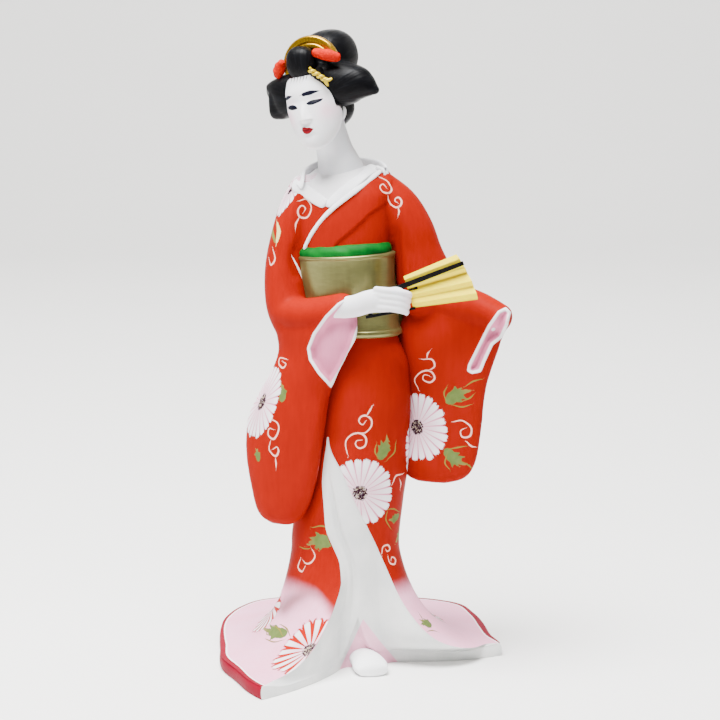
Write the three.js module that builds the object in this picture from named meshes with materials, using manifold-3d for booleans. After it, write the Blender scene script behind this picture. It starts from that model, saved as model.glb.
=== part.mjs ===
// A standing lady in a trailing robe, cast in clay, with a folding fan set in her right hand.
// Millimetres, Z up. The lady faces -Y and stands on z = 0, with the origin on her standing axis.
// The forms are laid out facing their best side and turned by TURN at the end.
import * as THREE from 'three';
import { mergeVertices } from 'three/addons/utils/BufferGeometryUtils.js';
import Module from 'manifold-3d';

// Driving dimensions
const TURN = 28;
const TOP_OF_HEM = 6.5;
const HEM_ROUNDING = 1.4;
const SWEEP_TOP = 60;
const LINING_PEAK = 118;
const SKIRT_TOP = 172;
const FOLD_DEPTH = 1.6;
const UNDER_ROBE_RECESS = 3.5;
const UNDER_ROBE_HEIGHT = 27;
const OBI_LOW = 167;
const OBI_HIGH = 208;
const OBI_STANDS_OUT = 2.6;
const OBI_RIM = 3.2;
const KNOT_WIDTH = 46;
const KNOT_HEIGHT = 48;
const KNOT_DEPTH = 15;
const COLLAR_WIDTH = 4.2;
const COLLAR_THICKNESS = 1.7;
const HEAD_AT = [-20.2, -3.5, 281.5];
const HEAD_YAW = -25;
const HEAD_BOW = 4;
const HEAD_ROLL = -13;
const HEAD_SCALE = 1.06;
const FAN_PIVOT = [3, -28.5, 177];
const FAN_YAW = -5;
const FAN_FIRST_ANGLE = 10;
const FAN_LAST_ANGLE = 35;
const FAN_PAPER_IN = 24;
const FAN_PAPER_OUT = 56;
const FAN_THICKNESS = 1.5;
const FAN_PLEATS = 5;
const FAN_GAP = 0.3;
const FACET_TOLERANCE = 0.38;

// Outline of the hem on the ground: angle from the front, radius, about the skirt's own axis
const HEM_OUTLINE = [
  [95.6, 78.9], [110, 79], [124.8, 87.7], [138, 101], [148, 114], [156, 117],
  [168, 115.5], [182, 115], [196, 117.5], [205.5, 116], [213.2, 107.6], [223, 95.5],
  [241, 77], [261.5, 66.5], [288, 67], [311.5, 72.5], [324, 81.5], [331.9, 88.2],
];
// Radius of the open front, from the left edge (0) round to the right edge (1)
const OPEN_FRONT = [
  [0, 88.2], [0.035, 69], [0.069, 49.7], [0.1, 35], [0.145, 22.5], [0.22, 19.5], [0.5, 19],
  [0.7, 20], [0.84, 23], [0.885, 33], [0.91, 44], [0.94, 59], [1, 78.9],
];
const OPEN_COLUMNS = [
  0, 0.035, 0.069, 0.1, 0.145, 0.2, 0.26, 0.33, 0.41, 0.5, 0.59, 0.68, 0.77, 0.84, 0.885, 0.91, 0.94,
];
// Skirt and hips: height, centre across, centre in depth, half width, half depth, yaw
const SKIRT = [
  [0, -5, 1, 22, 20, 0], [62, -6.5, 1, 26.3, 21, 0], [83, -4, 0, 25.8, 20.5, -4],
  [103, -0.5, -1, 24.8, 20.5, -8], [134, 0.5, -1, 26, 20.5, -14], [150, 0, 0, 26, 20, -18],
  [168, -3.7, 1, 24, 17.5, -24], [180, -5, 1, 23, 16.5, -25],
];
// Edges of the white lining by height: left edge and right edge, degrees from the front
const LINING = [
  [0, -28.1, 95.6], [6.5, -28.1, 95.6], [10, -24, 90], [16, -20, 86], [26, -15, 81], [36, -9.5, 76],
  [46, -5, 67], [54, -7, 58], [62, -16, 47], [72, -29, 33], [84, -36, 15], [101, -37, -11],
  [118, -37, -29], [180, -38, -28],
];
// Torso: height, centre across, centre in depth, half width, half depth, yaw, shoulder tilt
const TORSO = [
  [160, -2, 1, 23, 17, -22, 0], [176, -4.5, 1, 23, 17, -25, 0.03], [188, -5.5, 1, 22.5, 16.5, -25, 0.05],
  [207, -7.3, 1, 24, 17, -25, 0.06], [222, -8.5, 2, 25.5, 17, -25, 0.09], [233, -9.5, 3, 25.5, 15.5, -25, 0.12],
  [241, -10, 5, 22.5, 14.5, -25, 0.13], [246, -9.5, 7, 18, 13.5, -25, 0.1], [250, -8, 8.5, 13, 11, -25, 0.05],
];
const CHEST_BAND = [
  [203, -7.4, 0, 23.5, 17.5, -25, 0.06], [206, -7.5, 0, 26, 19.5, -25, 0.06], [209.5, -7.7, 0, 27, 20, -25, 0.07],
  [212.5, -7.9, 0.5, 25.8, 18.8, -25, 0.08], [214, -8, 1, 23, 16, -25, 0.08],
];

// Sleeve bags: height, centre across, centre in depth, half length, half thickness, yaw
const RIGHT_BAG = [
  [71, -35, -11, 8, 2, -28], [73, -35.8, -11, 14, 4.6, -28], [77, -36.6, -11, 17.5, 5.8, -28],
  [87, -37.2, -11, 19.6, 6.6, -28], [108, -37.4, -11.5, 21.4, 6.8, -28], [123, -36, -12, 21.8, 7, -28],
  [139, -31.5, -12.5, 19.6, 7.2, -29], [150, -26.5, -14, 18.5, 7.6, -31], [160, -22.5, -15.5, 19.6, 8, -33],
  [172, -20.5, -16.5, 23, 8.4, -33], [182, -20, -16.5, 22, 8, -33], [190, -21, -16, 15, 4.5, -33],
];
const LEFT_BAG = [
  [92.5, 37, -3, 8, 2, -26], [95, 38.2, -4, 15, 4.6, -26], [99, 39.4, -4.5, 18.4, 5.8, -26],
  [107, 40.6, -5, 20.4, 6.4, -26], [118, 41.8, -5.5, 21, 6.6, -27], [130, 42.6, -6, 21.4, 6.8, -27],
  [142, 43.4, -6.5, 22, 7, -27], [153, 44.4, -7, 24, 7.2, -27], [164, 46, -7.5, 26.4, 7.4, -27],
  [175, 48, -8, 28.6, 7.6, -27], [183, 49.5, -9, 26, 7, -27], [189, 50, -9, 15, 4, -27],
];
// Arms inside their sleeves: across, depth, height, half width, half thickness
const RIGHT_UPPER_ARM = [
  [-24, 5, 236, 9.5, 9.5], [-31, 5, 226, 10, 11], [-34.5, 5, 214, 10.4, 12], [-36, 4, 202, 10.6, 12],
  [-36, 1, 190, 10.8, 11.5], [-34.5, -3, 180, 10.8, 10.5], [-31, -7, 170, 9.5, 8.5],
];
const RIGHT_FOREARM = [
  [-36, -5, 182, 9, 8.5], [-27, -13, 182, 10, 9.2], [-16, -20, 182.5, 9.6, 9], [-7, -25, 184, 8.6, 8.2],
];
const LEFT_UPPER_ARM = [
  [10, 4, 239, 10, 9.5], [19, 3, 230, 11.5, 11.5], [25.5, 2, 219, 12, 12], [30, 1, 207, 12, 12],
  [35, -1, 196, 12, 11.5], [41, -4, 187, 11, 10.5],
];
const LEFT_FOREARM = [
  [38, -2, 187, 10, 9.5], [48, -8, 184, 9.5, 9.2], [59, -14, 181, 9, 8.6], [70, -20, 177.5, 7, 7],
];
// Collars, as flat bands: points over the shoulders, then height and angle round the chest
const COLLAR_RIGHT = {
  over: [[-6, 22, 250.5], [7, 17.5, 250.5], [13.5, 7, 249], [11.5, -5, 245.5]],
  chest: [[238, 40], [232.5, 12], [227.5, -10], [222, -28]],
};
const COLLAR_LEFT = {
  over: [[-6, 22, 250.5], [-19, 17.5, 248.5], [-28, 8, 245], [-29.5, -2, 241]],
  chest: [[236, -45], [231.5, -25], [227, -5]],
};
const LAPEL_RIGHT = {
  over: [[-2, 23, 247.5], [12, 18.5, 247], [20, 8, 245], [18.5, -5, 241.5]],
  chest: [[232, 50], [226, 22], [219.5, -5], [213.5, -30], [208.5, -48]],
};
const LAPEL_LEFT = {
  over: [[-11, 22.5, 246.5], [-25, 16, 244.5], [-32, 6, 240], [-32.5, -4, 235]],
  chest: [[230, -58], [225, -40], [220, -24]],
};

const wasm = await Module();
wasm.setup();

const rad = (d) => (d * Math.PI) / 180;
const clamp = (x, lo, hi) => Math.min(hi, Math.max(lo, x));
const smooth = (x) => {
  const t = clamp(x, 0, 1);
  return t * t * (3 - 2 * t);
};

// Row of a table at a key, with slopes that never overshoot
function slope(a, p, b, k) {
  if (a === p) return (b[k] - p[k]) / (b[0] - p[0]);
  if (b === p) return (p[k] - a[k]) / (p[0] - a[0]);
  const s = (p[k] - a[k]) / (p[0] - a[0]);
  const t = (b[k] - p[k]) / (b[0] - p[0]);
  return s * t <= 0 ? 0 : (2 * s * t) / (s + t);
}

function sample(table, key) {
  let i = 0;
  while (i < table.length - 2 && key > table[i + 1][0]) i += 1;
  const p = table[i];
  const q = table[i + 1];
  const a = table[Math.max(0, i - 1)];
  const b = table[Math.min(table.length - 1, i + 2)];
  const h = q[0] - p[0];
  const t = clamp((key - p[0]) / h, 0, 1);
  return p.map((v, k) => {
    if (k === 0) return key;
    const m = slope(a, p, q, k) * h;
    const n = slope(p, q, b, k) * h;
    const t2 = t * t;
    const t3 = t2 * t;
    return (2 * t3 - 3 * t2 + 1) * v + (t3 - 2 * t2 + t) * m + (3 * t2 - 2 * t3) * q[k] + (t3 - t2) * n;
  });
}

// Point on a smooth curve through the rows, t from 0 to 1
function along(rows, t) {
  const s = clamp(t, 0, 1) * (rows.length - 1);
  const i = Math.min(rows.length - 2, Math.floor(s));
  const f = s - i;
  const b = rows[i];
  const c = rows[i + 1];
  const a = rows[i - 1] || b.map((v, k) => 2 * v - c[k]);
  const d = rows[i + 2] || c.map((v, k) => 2 * v - b[k]);
  return b.map((v, k) => 0.5 * (2 * v + (c[k] - a[k]) * f + (2 * a[k] - 5 * v + 4 * c[k] - d[k]) * f * f
    + (3 * v - a[k] - 3 * c[k] + d[k]) * f * f * f));
}

const apart = (p, q) => Math.hypot(p[0] - q[0], p[1] - q[1], p[2] - q[2]);

// Closed body from rings of points and a point at each end
function fromRings(rings, lowPole, highPole) {
  const n = rings[0].length;
  const points = [lowPole, ...rings.flat(), highPole];
  const last = points.length - 1;
  const index = [];
  for (let j = 0; j < n; j += 1) {
    const k = (j + 1) % n;
    index.push(0, 1 + k, 1 + j);
    for (let i = 0; i < rings.length - 1; i += 1) {
      const a = 1 + i * n;
      const b = a + n;
      const [p, q, r, s] = [a + j, a + k, b + k, b + j];
      if (apart(points[p], points[r]) <= apart(points[q], points[s])) index.push(p, q, r, p, r, s);
      else index.push(p, q, s, q, r, s);
    }
    const top = 1 + (rings.length - 1) * n;
    index.push(last, top + j, top + k);
  }
  const geometry = new THREE.BufferGeometry();
  geometry.setAttribute('position', new THREE.Float32BufferAttribute(points.flat(), 3));
  geometry.setIndex(index);
  return geometry;
}

function solidOf(geometry) {
  const g = geometry.clone();
  g.deleteAttribute('normal');
  g.deleteAttribute('uv');
  const m = mergeVertices(g, 1e-5);
  const mesh = new wasm.Mesh({
    numProp: 3,
    vertProperties: new Float32Array(m.attributes.position.array),
    triVerts: new Uint32Array(m.index.array),
  });
  let solid = new wasm.Manifold(mesh);
  if (solid.volume() < 0) {
    const flipped = new Uint32Array(m.index.array);
    for (let i = 0; i < flipped.length; i += 3) [flipped[i], flipped[i + 1]] = [flipped[i + 1], flipped[i]];
    mesh.triVerts = flipped;
    solid = new wasm.Manifold(mesh);
  }
  return solid;
}

function meshOf(name, solid, colour) {
  const out = solid.getMesh();
  const geometry = new THREE.BufferGeometry();
  geometry.setAttribute('position', new THREE.Float32BufferAttribute(out.vertProperties, 3));
  geometry.setIndex(new THREE.Uint32BufferAttribute(out.triVerts, 1));
  geometry.computeVertexNormals();
  const material = new THREE.MeshStandardMaterial({ color: colour, roughness: 0.75, metalness: 0 });
  const mesh = new THREE.Mesh(geometry, material);
  mesh.name = name;
  mesh.rotation.z = rad(TURN);
  return mesh;
}

const union = (solids) => solids.reduce((a, b) => a.add(b));

// The body without the pockets closed in where two forms meet
function outerShell(solid) {
  const shells = solid.decompose();
  return shells.reduce((a, b) => (b.volume() > a.volume() ? b : a));
}

// Body with level sections: rows of height, centre, half sizes, yaw, tilt
function levelBody(table, heights, around, power = 2, grow = 0) {
  const rings = heights.map((z) => {
    const [, u, v, a, b, yaw = 0, tilt = 0] = sample(table, z);
    const c = Math.cos(rad(yaw));
    const s = Math.sin(rad(yaw));
    return Array.from({ length: around }, (_, i) => {
      const w = (2 * Math.PI * i) / around;
      const p = (a + grow) * Math.sign(Math.cos(w)) * Math.abs(Math.cos(w)) ** (2 / power);
      const q = (b + grow) * Math.sign(Math.sin(w)) * Math.abs(Math.sin(w)) ** (2 / power);
      const x = p * c - q * s;
      return [u + x, v + p * s + q * c, z + tilt * x];
    });
  });
  const centre = (z) => {
    const [, u, v] = sample(table, z);
    return [u, v, z];
  };
  return solidOf(fromRings(rings, centre(heights[0]), centre(heights.at(-1))));
}

const steps = (from, to, count) => Array.from({ length: count + 1 }, (_, i) => from + ((to - from) * i) / count);

// Limb along a path, with rounded ends: rows of position and half sizes
function limb(rows, around, count, ref = [0, -1, 0]) {
  const at = (t) => along(rows, t);
  const rings = [];
  const poles = [];
  const frame = (t) => {
    const p = at(Math.max(0, t - 0.01));
    const q = at(Math.min(1, t + 0.01));
    const dir = new THREE.Vector3(q[0] - p[0], q[1] - p[1], q[2] - p[2]).normalize();
    const side = new THREE.Vector3(...ref).cross(dir).normalize();
    return { dir, side, up: dir.clone().cross(side) };
  };
  const ring = (t, scale, push) => {
    const [x, y, z, a, b] = at(t);
    const { dir, side, up } = frame(t);
    return Array.from({ length: around }, (_, i) => {
      const w = (2 * Math.PI * i) / around;
      const p = new THREE.Vector3(x, y, z).addScaledVector(dir, push * Math.min(a, b));
      p.addScaledVector(side, a * scale * Math.cos(w)).addScaledVector(up, b * scale * Math.sin(w));
      return p.toArray();
    });
  };
  const pole = (t, push) => {
    const [x, y, z, a, b] = at(t);
    return new THREE.Vector3(x, y, z).addScaledVector(frame(t).dir, push * Math.min(a, b)).toArray();
  };
  rings.push(ring(0, 0.7, -0.55));
  for (const t of steps(0, 1, count)) rings.push(ring(t, 1, 0));
  rings.push(ring(1, 0.7, 0.55));
  poles.push(pole(0, -0.8), pole(1, 0.8));
  return solidOf(fromRings(rings, poles[0], poles[1]));
}

const band = (path, width, thickness) => path.map((p) => [...p, width, thickness]);

// Skirt, hips and trailing hem
function ovalRadius(row, angle) {
  const [, , , a, b, yaw] = row;
  const x = Math.sin(rad(angle - yaw));
  const y = Math.cos(rad(angle - yaw));
  return 1 / Math.hypot(x / a, y / b);
}

function spread(z) {
  if (z <= TOP_OF_HEM) return 1;
  const x = clamp((z - TOP_OF_HEM) / (SWEEP_TOP - TOP_OF_HEM), 0, 1);
  return (1 - x ** 0.45) ** 1.3;
}

function hemRounding(z) {
  if (z > TOP_OF_HEM) return 0;
  const x = Math.abs(z / TOP_OF_HEM - 0.45) / 0.55;
  return -HEM_ROUNDING * x ** 3;
}

function skirtFold(angle, z) {
  const line = 268 + (z - 20) * 1.1;
  const away = (angle - line) / 11;
  const line2 = 150 + z * 0.25;
  const away2 = (angle - line2) / 14;
  const fade = smooth((z - 8) / 14) * smooth((112 - z) / 40);
  return -FOLD_DEPTH * fade * (Math.exp(-away * away) + Math.exp(-away2 * away2));
}

// Lines round the closed side: they follow the lining's right edge at first and then run straight up
function roundAngle(share, left, right) {
  if (share < 0.3) return right + (125 - right) * (share / 0.3);
  return 125 + (360 + left - 125) * ((share - 0.3) / 0.7);
}

function skirtPoint(share, z, open) {
  const row = sample(SKIRT, z);
  const [, left, right] = sample(LINING, z);
  const angle = open ? left + (right - left) * share : roundAngle(share, left, right);
  const foot = open ? sample(OPEN_FRONT, share)[1] : sample(HEM_OUTLINE, roundAngle(share, -28.1, 95.6))[1];
  let r = ovalRadius(row, angle);
  r += (foot - r) * spread(z) + hemRounding(z) * smooth((foot - 24) / 30);
  if (open) {
    const crease = (share - 0.3) / 0.07;
    r -= 2.2 * Math.exp(-crease * crease) * smooth((z - 22) / 10) * smooth((104 - z) / 24);
    const half = 0.34 * (1 - z / UNDER_ROBE_HEIGHT);
    const inside = (half - Math.abs(share - 0.42)) / 0.05;
    if (half > 0) r -= UNDER_ROBE_RECESS * smooth(inside);
  } else {
    r += skirtFold(angle < 0 ? angle + 360 : angle, z);
    r += 0.9 * smooth((z - 8) / 10) * smooth((LINING_PEAK - z) / 10);
  }
  return [row[1] + r * Math.sin(rad(angle)), row[2] - r * Math.cos(rad(angle)), z];
}

function skirt() {
  const heights = [0, 1.6, 4.6, TOP_OF_HEM + 0.05, 7.5, 9.5, 13, 18, 25, 34, 45, 57, 72, 88, 103, 118, 138, SKIRT_TOP];
  const round = steps(0, 1, 30);
  const rings = heights.map((z) => [
    ...OPEN_COLUMNS.map((s) => skirtPoint(s, z, true)),
    ...round.slice(0, -1).map((s) => skirtPoint(s, z, false)),
  ]);
  return solidOf(fromRings(rings, [-5, 1, 0], [-4, 1, SKIRT_TOP]));
}

function foot() {
  const rows = [[2, -12, 4.5, 7, 5], [4.5, -20, 4.5, 8, 5], [6, -27, 3.8, 8.8, 4.8], [7.2, -31.5, 3, 8, 3.8]];
  const shape = limb(rows, 12, 4, [0, 0, 1]);
  return shape.trimByPlane([0, 0, 1], 0);
}

// Obi: a plain barrel with a raised rim above and below, and its folded knot behind
function obi() {
  const rows = TORSO.map((r) => [...r]);
  const body = levelBody(rows, steps(OBI_LOW + 0.5, OBI_HIGH - 0.5, 2), 26, 2, OBI_STANDS_OUT);
  const rim = (z) => levelBody(rows, [z - OBI_RIM / 2, z + OBI_RIM / 2], 26, 2, OBI_STANDS_OUT + 0.7);
  return union([body, rim(OBI_LOW + OBI_RIM / 2), rim(OBI_HIGH - OBI_RIM / 2)]);
}

function knot() {
  const w = KNOT_WIDTH / 2;
  const d = KNOT_DEPTH / 2;
  const low = OBI_LOW - 2;
  const high = low + KNOT_HEIGHT;
  const table = [
    [low, 5, 22, w * 0.8, d * 0.5, -25], [low + 3, 5, 22, w * 0.94, d * 0.85, -25],
    [low + 12, 5, 22.5, w, d, -25], [high - 12, 5, 22.5, w, d, -25],
    [high - 4, 5, 21.5, w * 0.98, d * 0.95, -25], [high, 5, 20.5, w * 0.9, d * 0.5, -25],
  ];
  const heights = [low, low + 3, low + 8, low + 16, high - 16, high - 8, high - 3, high];
  return levelBody(table, heights, 20, 3.6);
}

function chestBand() {
  return levelBody(CHEST_BAND, [203, 206, 209.5, 212.5, 214], 26);
}

function torso() {
  return levelBody(TORSO, [160, 207, 215, 223, 230, 236, 241, 245, 250], 24);
}

function neck() {
  const rows = [
    [-9.5, 5, 242, 12, 11], [-10, 4.5, 250, 10.5, 10], [-11.5, 3.5, 258, 9.2, 9],
    [-14, 1.5, 266, 8.8, 8.8], [-16.5, -0.5, 275, 8.8, 9],
  ];
  return limb(rows, 14, 3);
}

// Sleeves
const bag = (table) => levelBody(table, [table[0][0], ...table.slice(1).map((r) => r[0])], 18, 2.2);

function mouth(points, width, depth, around = 10) {
  return limb(points.map(([x, y, z, k]) => [x, y, z, width * k, depth * k]), around, 4, [0, -1, 0]);
}

// The right cuff hangs open in a leaf shape below the wrist
function rightCuff() {
  const path = [
    [2, -28.5, 182, 0.6], [-7, -27, 173, 0.95], [-14, -24.5, 163, 1], [-16.5, -22.5, 154, 0.75], [-15, -22, 146, 0.2],
  ];
  return { rim: mouth(path, 10, 3.8), hollow: mouth(path.map(([x, y, z, k]) => [x, y - 3.6, z, k]), 8.4, 3.6) };
}

function leftCuff() {
  const path = [[70.5, -22.5, 178, 0.8], [66.5, -21.5, 168, 1], [61, -19.5, 158, 0.8], [55.5, -17, 149, 0.35]];
  return { rim: mouth(path, 4.6, 3.6), hollow: mouth(path.map(([x, y, z, k]) => [x, y - 3.2, z, k]), 3.4, 3.2) };
}

function sleeves() {
  const right = rightCuff();
  const left = leftCuff();
  const body = union([
    bag(RIGHT_BAG), bag(LEFT_BAG), limb(RIGHT_UPPER_ARM, 14, 6), limb(RIGHT_FOREARM, 12, 3),
    limb(LEFT_UPPER_ARM, 14, 5), limb(LEFT_FOREARM, 12, 3), right.rim, left.rim,
  ]);
  return body.subtract(right.hollow).subtract(left.hollow);
}

function onChest([z, angle], lift) {
  const [, u, v, a, b, yaw, tilt] = sample(TORSO, z);
  const x = (a + lift) * Math.sin(rad(angle));
  const y = -(b + lift) * Math.cos(rad(angle));
  const c = Math.cos(rad(yaw));
  const s = Math.sin(rad(yaw));
  return [u + x * c - y * s, v + x * s + y * c, z + tilt * x];
}

function collar({ over, chest }, width, thickness, lift) {
  const path = [...over, ...chest.map((p) => onChest(p, lift))];
  return limb(band(path, thickness, width), 6, path.length + 1, [0, 0, 1]);
}

function collars() {
  return union([
    collar(LAPEL_RIGHT, 5, 1.5, 0.2), collar(LAPEL_LEFT, 5, 1.5, 0.2),
    collar(COLLAR_LEFT, COLLAR_WIDTH, COLLAR_THICKNESS, 0.4), collar(COLLAR_RIGHT, COLLAR_WIDTH, COLLAR_THICKNESS, 0.9),
  ]);
}

// Hands
function rightHand() {
  const palm = [
    [-9, -25.5, 183, 5, 5.2], [-2, -29, 184.5, 4.6, 5.2], [5, -32, 186, 4, 6], [13, -33.8, 187, 3.4, 6.8],
    [18, -34.3, 187, 2.8, 6.2],
  ];
  const fingers = [0, 1, 2, 3].map((i) => {
    const z = 192 - 3.1 * i;
    const x = 16.5 - 0.5 * i;
    return limb([
      [x, -34.6, z, 1.9, 1.9], [x + 4.5, -35.6, z - 0.6, 1.8, 1.8], [x + 8, -34.4, z - 2.2, 1.7, 1.7],
      [x + 8.4, -31.4, z - 3.6, 1.5, 1.5],
    ], 8, 3, [0, 0, 1]);
  });
  const thumb = limb([[6, -31.5, 190, 2, 2], [11, -30.5, 193, 1.9, 1.9], [17, -29.6, 194.6, 1.7, 1.7]], 8, 2);
  return union([limb(palm, 12, 4, [0, 0, 1]), ...fingers, thumb]);
}

const leftHand = () => limb([[64, -17.5, 177, 3, 4], [69.5, -21.5, 174, 2.6, 4.2], [71.5, -23.6, 168, 2, 3]], 8, 2);

// Head, in its own frame with the face to -Y
function placeHead(solid) {
  return solid.scale(HEAD_SCALE).rotate([HEAD_BOW, 0, 0]).rotate([0, HEAD_ROLL, 0]).rotate([0, 0, HEAD_YAW])
    .translate(HEAD_AT);
}

function face() {
  const table = [
    [-20, 0, -9.5, 2.6, 2.6], [-19, 0, -9, 5, 4.6], [-16, 0, -7, 8.2, 7.6], [-11, 0, -4.5, 11, 10.6],
    [-5, 0, -2.6, 12.7, 12.2], [1, 0, -1.6, 13.4, 12.9], [7, 0, -1, 13.4, 12.9], [13, 0, 0, 12, 12],
    [17, 0, 0, 9, 9],
  ];
  const skull = levelBody(table, [-20, -19, -16, -12.5, -9, -5, -1, 4, 9, 14], 18);
  const nose = limb([[0, -13.4, 0, 1, 1], [0, -15, -4, 1.4, 1.6], [0, -15.2, -6.4, 1.7, 1.8]], 6, 2, [1, 0, 0]);
  return skull.add(nose);
}

const lobe = (x, y, z, a, b, c, tilt = 0, segments = 12) => solidOf(new THREE.SphereGeometry(1, segments, 8))
  .scale([a, b, c]).rotate([0, tilt, 0]).translate([x, y, z]);

function hair() {
  return union([
    lobe(0.5, 4.5, 8.5, 15, 14.5, 13.5),
    lobe(0, 11, -1, 11.5, 9, 12.5),
    lobe(15, 3, 5.5, 13.4, 10.5, 8.2, 12),
    lobe(-13.5, 2, 6.5, 12.2, 10.5, 8.4, -10),
    lobe(0.5, -8.5, 19, 6, 6, 7.2, 0, 10),
    lobe(4, 12.5, 21.5, 11.4, 15, 11.6),
  ]);
}

function combAndPins() {
  const arc = (x, y, z, rx, rz, w) => steps(-80, 80, 8)
    .map((d) => [x + rx * Math.sin(rad(d)), y, z + rz * Math.cos(rad(d)), w, 2.2]);
  const comb = limb(arc(2.6, -2.5, 18, 13, 12.6, 3), 6, 9, [0, 1, 0]);
  const cushion = (side) => limb([
    [1 + side * 6, -8.5, 24.5, 2.4, 2.4], [1 + side * 11, -6.8, 22.8, 3.2, 3.2], [1 + side * 14.5, -4.5, 19, 3.2, 3.2],
    [1 + side * 16.5, -3, 15.5, 2.2, 2.2],
  ], 8, 4);
  const pin = limb([[4.3, -11.6, 17, 1, 0.9], [8.5, -11.6, 12.5, 1.5, 1.1], [12.6, -10.4, 7.8, 1, 0.9]], 6, 2);
  return union([comb, cushion(1), cushion(-1), pin]);
}

// Fan: folded leaf in pleats, with its sticks gathered at the pivot
function sectorPlate(r0, r1, first, last, cells, thick, wave, grow) {
  const front = [];
  const back = [];
  for (let i = 0; i <= cells; i += 1) {
    const a = rad(first + ((last - first) * i) / cells);
    const lift = wave * (i % 2 ? 1 : -1);
    for (const r of [r0, r1]) {
      const k = r === r1 ? 1 : 0.45;
      front.push([r * Math.cos(a), -thick / 2 - grow + lift * k, r * Math.sin(a)]);
      back.push([r * Math.cos(a), thick / 2 + grow + lift * k, r * Math.sin(a)]);
    }
  }
  const n = front.length;
  const index = [];
  const quad = (a, b, c, d) => index.push(a, b, c, a, c, d);
  for (let i = 0; i < cells; i += 1) {
    const p = 2 * i;
    quad(p, p + 1, p + 3, p + 2);
    quad(n + p + 2, n + p + 3, n + p + 1, n + p);
    quad(p + 1, n + p + 1, n + p + 3, p + 3);
    quad(p, p + 2, n + p + 2, n + p);
  }
  quad(0, n, n + 1, 1);
  const e = n - 2;
  quad(e, e + 1, n + e + 1, n + e);
  const geometry = new THREE.BufferGeometry();
  geometry.setAttribute('position', new THREE.Float32BufferAttribute([...front, ...back].flat(), 3));
  geometry.setIndex(index);
  return solidOf(geometry);
}

function fan(grow) {
  const slack = (grow / FAN_PAPER_IN) * 57.3;
  const first = FAN_FIRST_ANGLE - slack;
  const last = FAN_LAST_ANGLE + slack;
  const leaf = sectorPlate(FAN_PAPER_IN - grow, FAN_PAPER_OUT + grow, first, last, 2 * FAN_PLEATS, FAN_THICKNESS, 0.7, grow);
  const stick = (angle) => {
    const body = solidOf(new THREE.BoxGeometry(FAN_PAPER_IN + 8 + grow, 1.2 + 2 * grow, 2.4 + 2 * grow));
    return body.translate([(FAN_PAPER_IN + 8) / 2 - 5, 0, 0]).rotate([0, -angle, 0]);
  };
  const sticks = steps(FAN_FIRST_ANGLE + 3, FAN_LAST_ANGLE - 3, 3).map(stick);
  const guard = solidOf(new THREE.BoxGeometry(FAN_PAPER_OUT - 12, FAN_THICKNESS + 1.2 + 2 * grow, 1.8 + 2 * grow))
    .translate([(FAN_PAPER_OUT - 12) / 2, 0, 0]).rotate([0, -(FAN_LAST_ANGLE - 2), 0]);
  const rivet = solidOf(new THREE.CylinderGeometry(2.6 + grow, 2.6 + grow, FAN_THICKNESS + 1 + 2 * grow, 14));
  return union([leaf, ...sticks, guard, rivet]).rotate([0, 0, FAN_YAW]).translate(FAN_PIVOT);
}

function figure() {
  const robe = union([skirt(), torso(), sleeves(), obi(), knot(), chestBand(), collars(), foot()]);
  const head = placeHead(union([face(), hair(), combAndPins()]));
  const whole = union([robe, neck(), head, rightHand(), leftHand()]);
  return outerShell(whole.subtract(fan(FAN_GAP)).simplify(FACET_TOLERANCE));
}

const group = new THREE.Group();
group.name = 'clay_lady_with_fan';
group.add(meshOf('figure', figure(), 0xd8401f));
group.add(meshOf('fan', fan(0), 0xe0c860));

export default group;
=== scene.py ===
import math

import bmesh
import bpy
import numpy as np
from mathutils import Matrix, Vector
from mathutils.bvhtree import BVHTree


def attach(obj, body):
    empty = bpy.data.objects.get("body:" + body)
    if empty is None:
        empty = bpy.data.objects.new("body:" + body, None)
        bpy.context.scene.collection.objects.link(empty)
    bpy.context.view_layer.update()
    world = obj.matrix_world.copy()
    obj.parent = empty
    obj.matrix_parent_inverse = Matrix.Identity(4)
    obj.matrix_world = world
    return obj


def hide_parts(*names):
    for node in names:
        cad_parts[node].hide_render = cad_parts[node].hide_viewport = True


bl_info = {
    "name": "Clay lady with a fan",
    "version": (1, 0, 0),
    "blender": (4, 5, 0),
    "location": "View3D > Sidebar > Clay lady",
    "description": "Builds a painted clay lady in a trailing robe, piece by piece",
    "category": "Add Mesh",
}

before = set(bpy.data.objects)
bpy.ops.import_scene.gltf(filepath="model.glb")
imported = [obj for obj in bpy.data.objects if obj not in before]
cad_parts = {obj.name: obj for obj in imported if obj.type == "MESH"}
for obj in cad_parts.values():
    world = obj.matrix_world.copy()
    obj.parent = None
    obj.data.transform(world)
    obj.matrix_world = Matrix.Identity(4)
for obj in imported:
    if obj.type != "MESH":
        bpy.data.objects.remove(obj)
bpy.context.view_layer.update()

# The forms are laid out in millimetres facing their best side, and turned by this into the doll's own frame
TURN = math.radians(28)

# Camera, as the doll was photographed
CAMERA_AZIMUTH = 28
CAMERA_ELEVATION = 8
CAMERA_DISTANCE = 1300
CAMERA_TARGET = (1, 0, 154)
CAMERA_LENS = 130
CAMERA_SENSOR = 36
PICTURE = 720

# Skirt and hem
TOP_OF_HEM = 6.5
HEM_ROUNDING = 1.4
LINING_DIP = 2.8
SWEEP_TOP, SWEEP_BEND, SWEEP_POWER = 60, 0.45, 1.3
LINING_PEAK = 118
SKIRT_TOP = 172
UNDER_ROBE_HEIGHT = 27
BLUSH_HEIGHT = 41
SKIRT_AXIS_LOW = (-5, 1, 0)
SKIRT_AXIS_HIGH = (-4, 1, SKIRT_TOP)
# Long folds in the closed side: angle, how far it turns a mm upwards from a height, and width
HEM_FOLDS = [(268, 1.1, 20, 11), (150, 0.25, 0, 14)]
# Edges of the open front on the ground, in degrees from the front, and the closed side's first stretch
OPEN_LEFT, OPEN_RIGHT = -28.1, 95.6
SIDE_END, SIDE_SHARE = 125, 0.3
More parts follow.
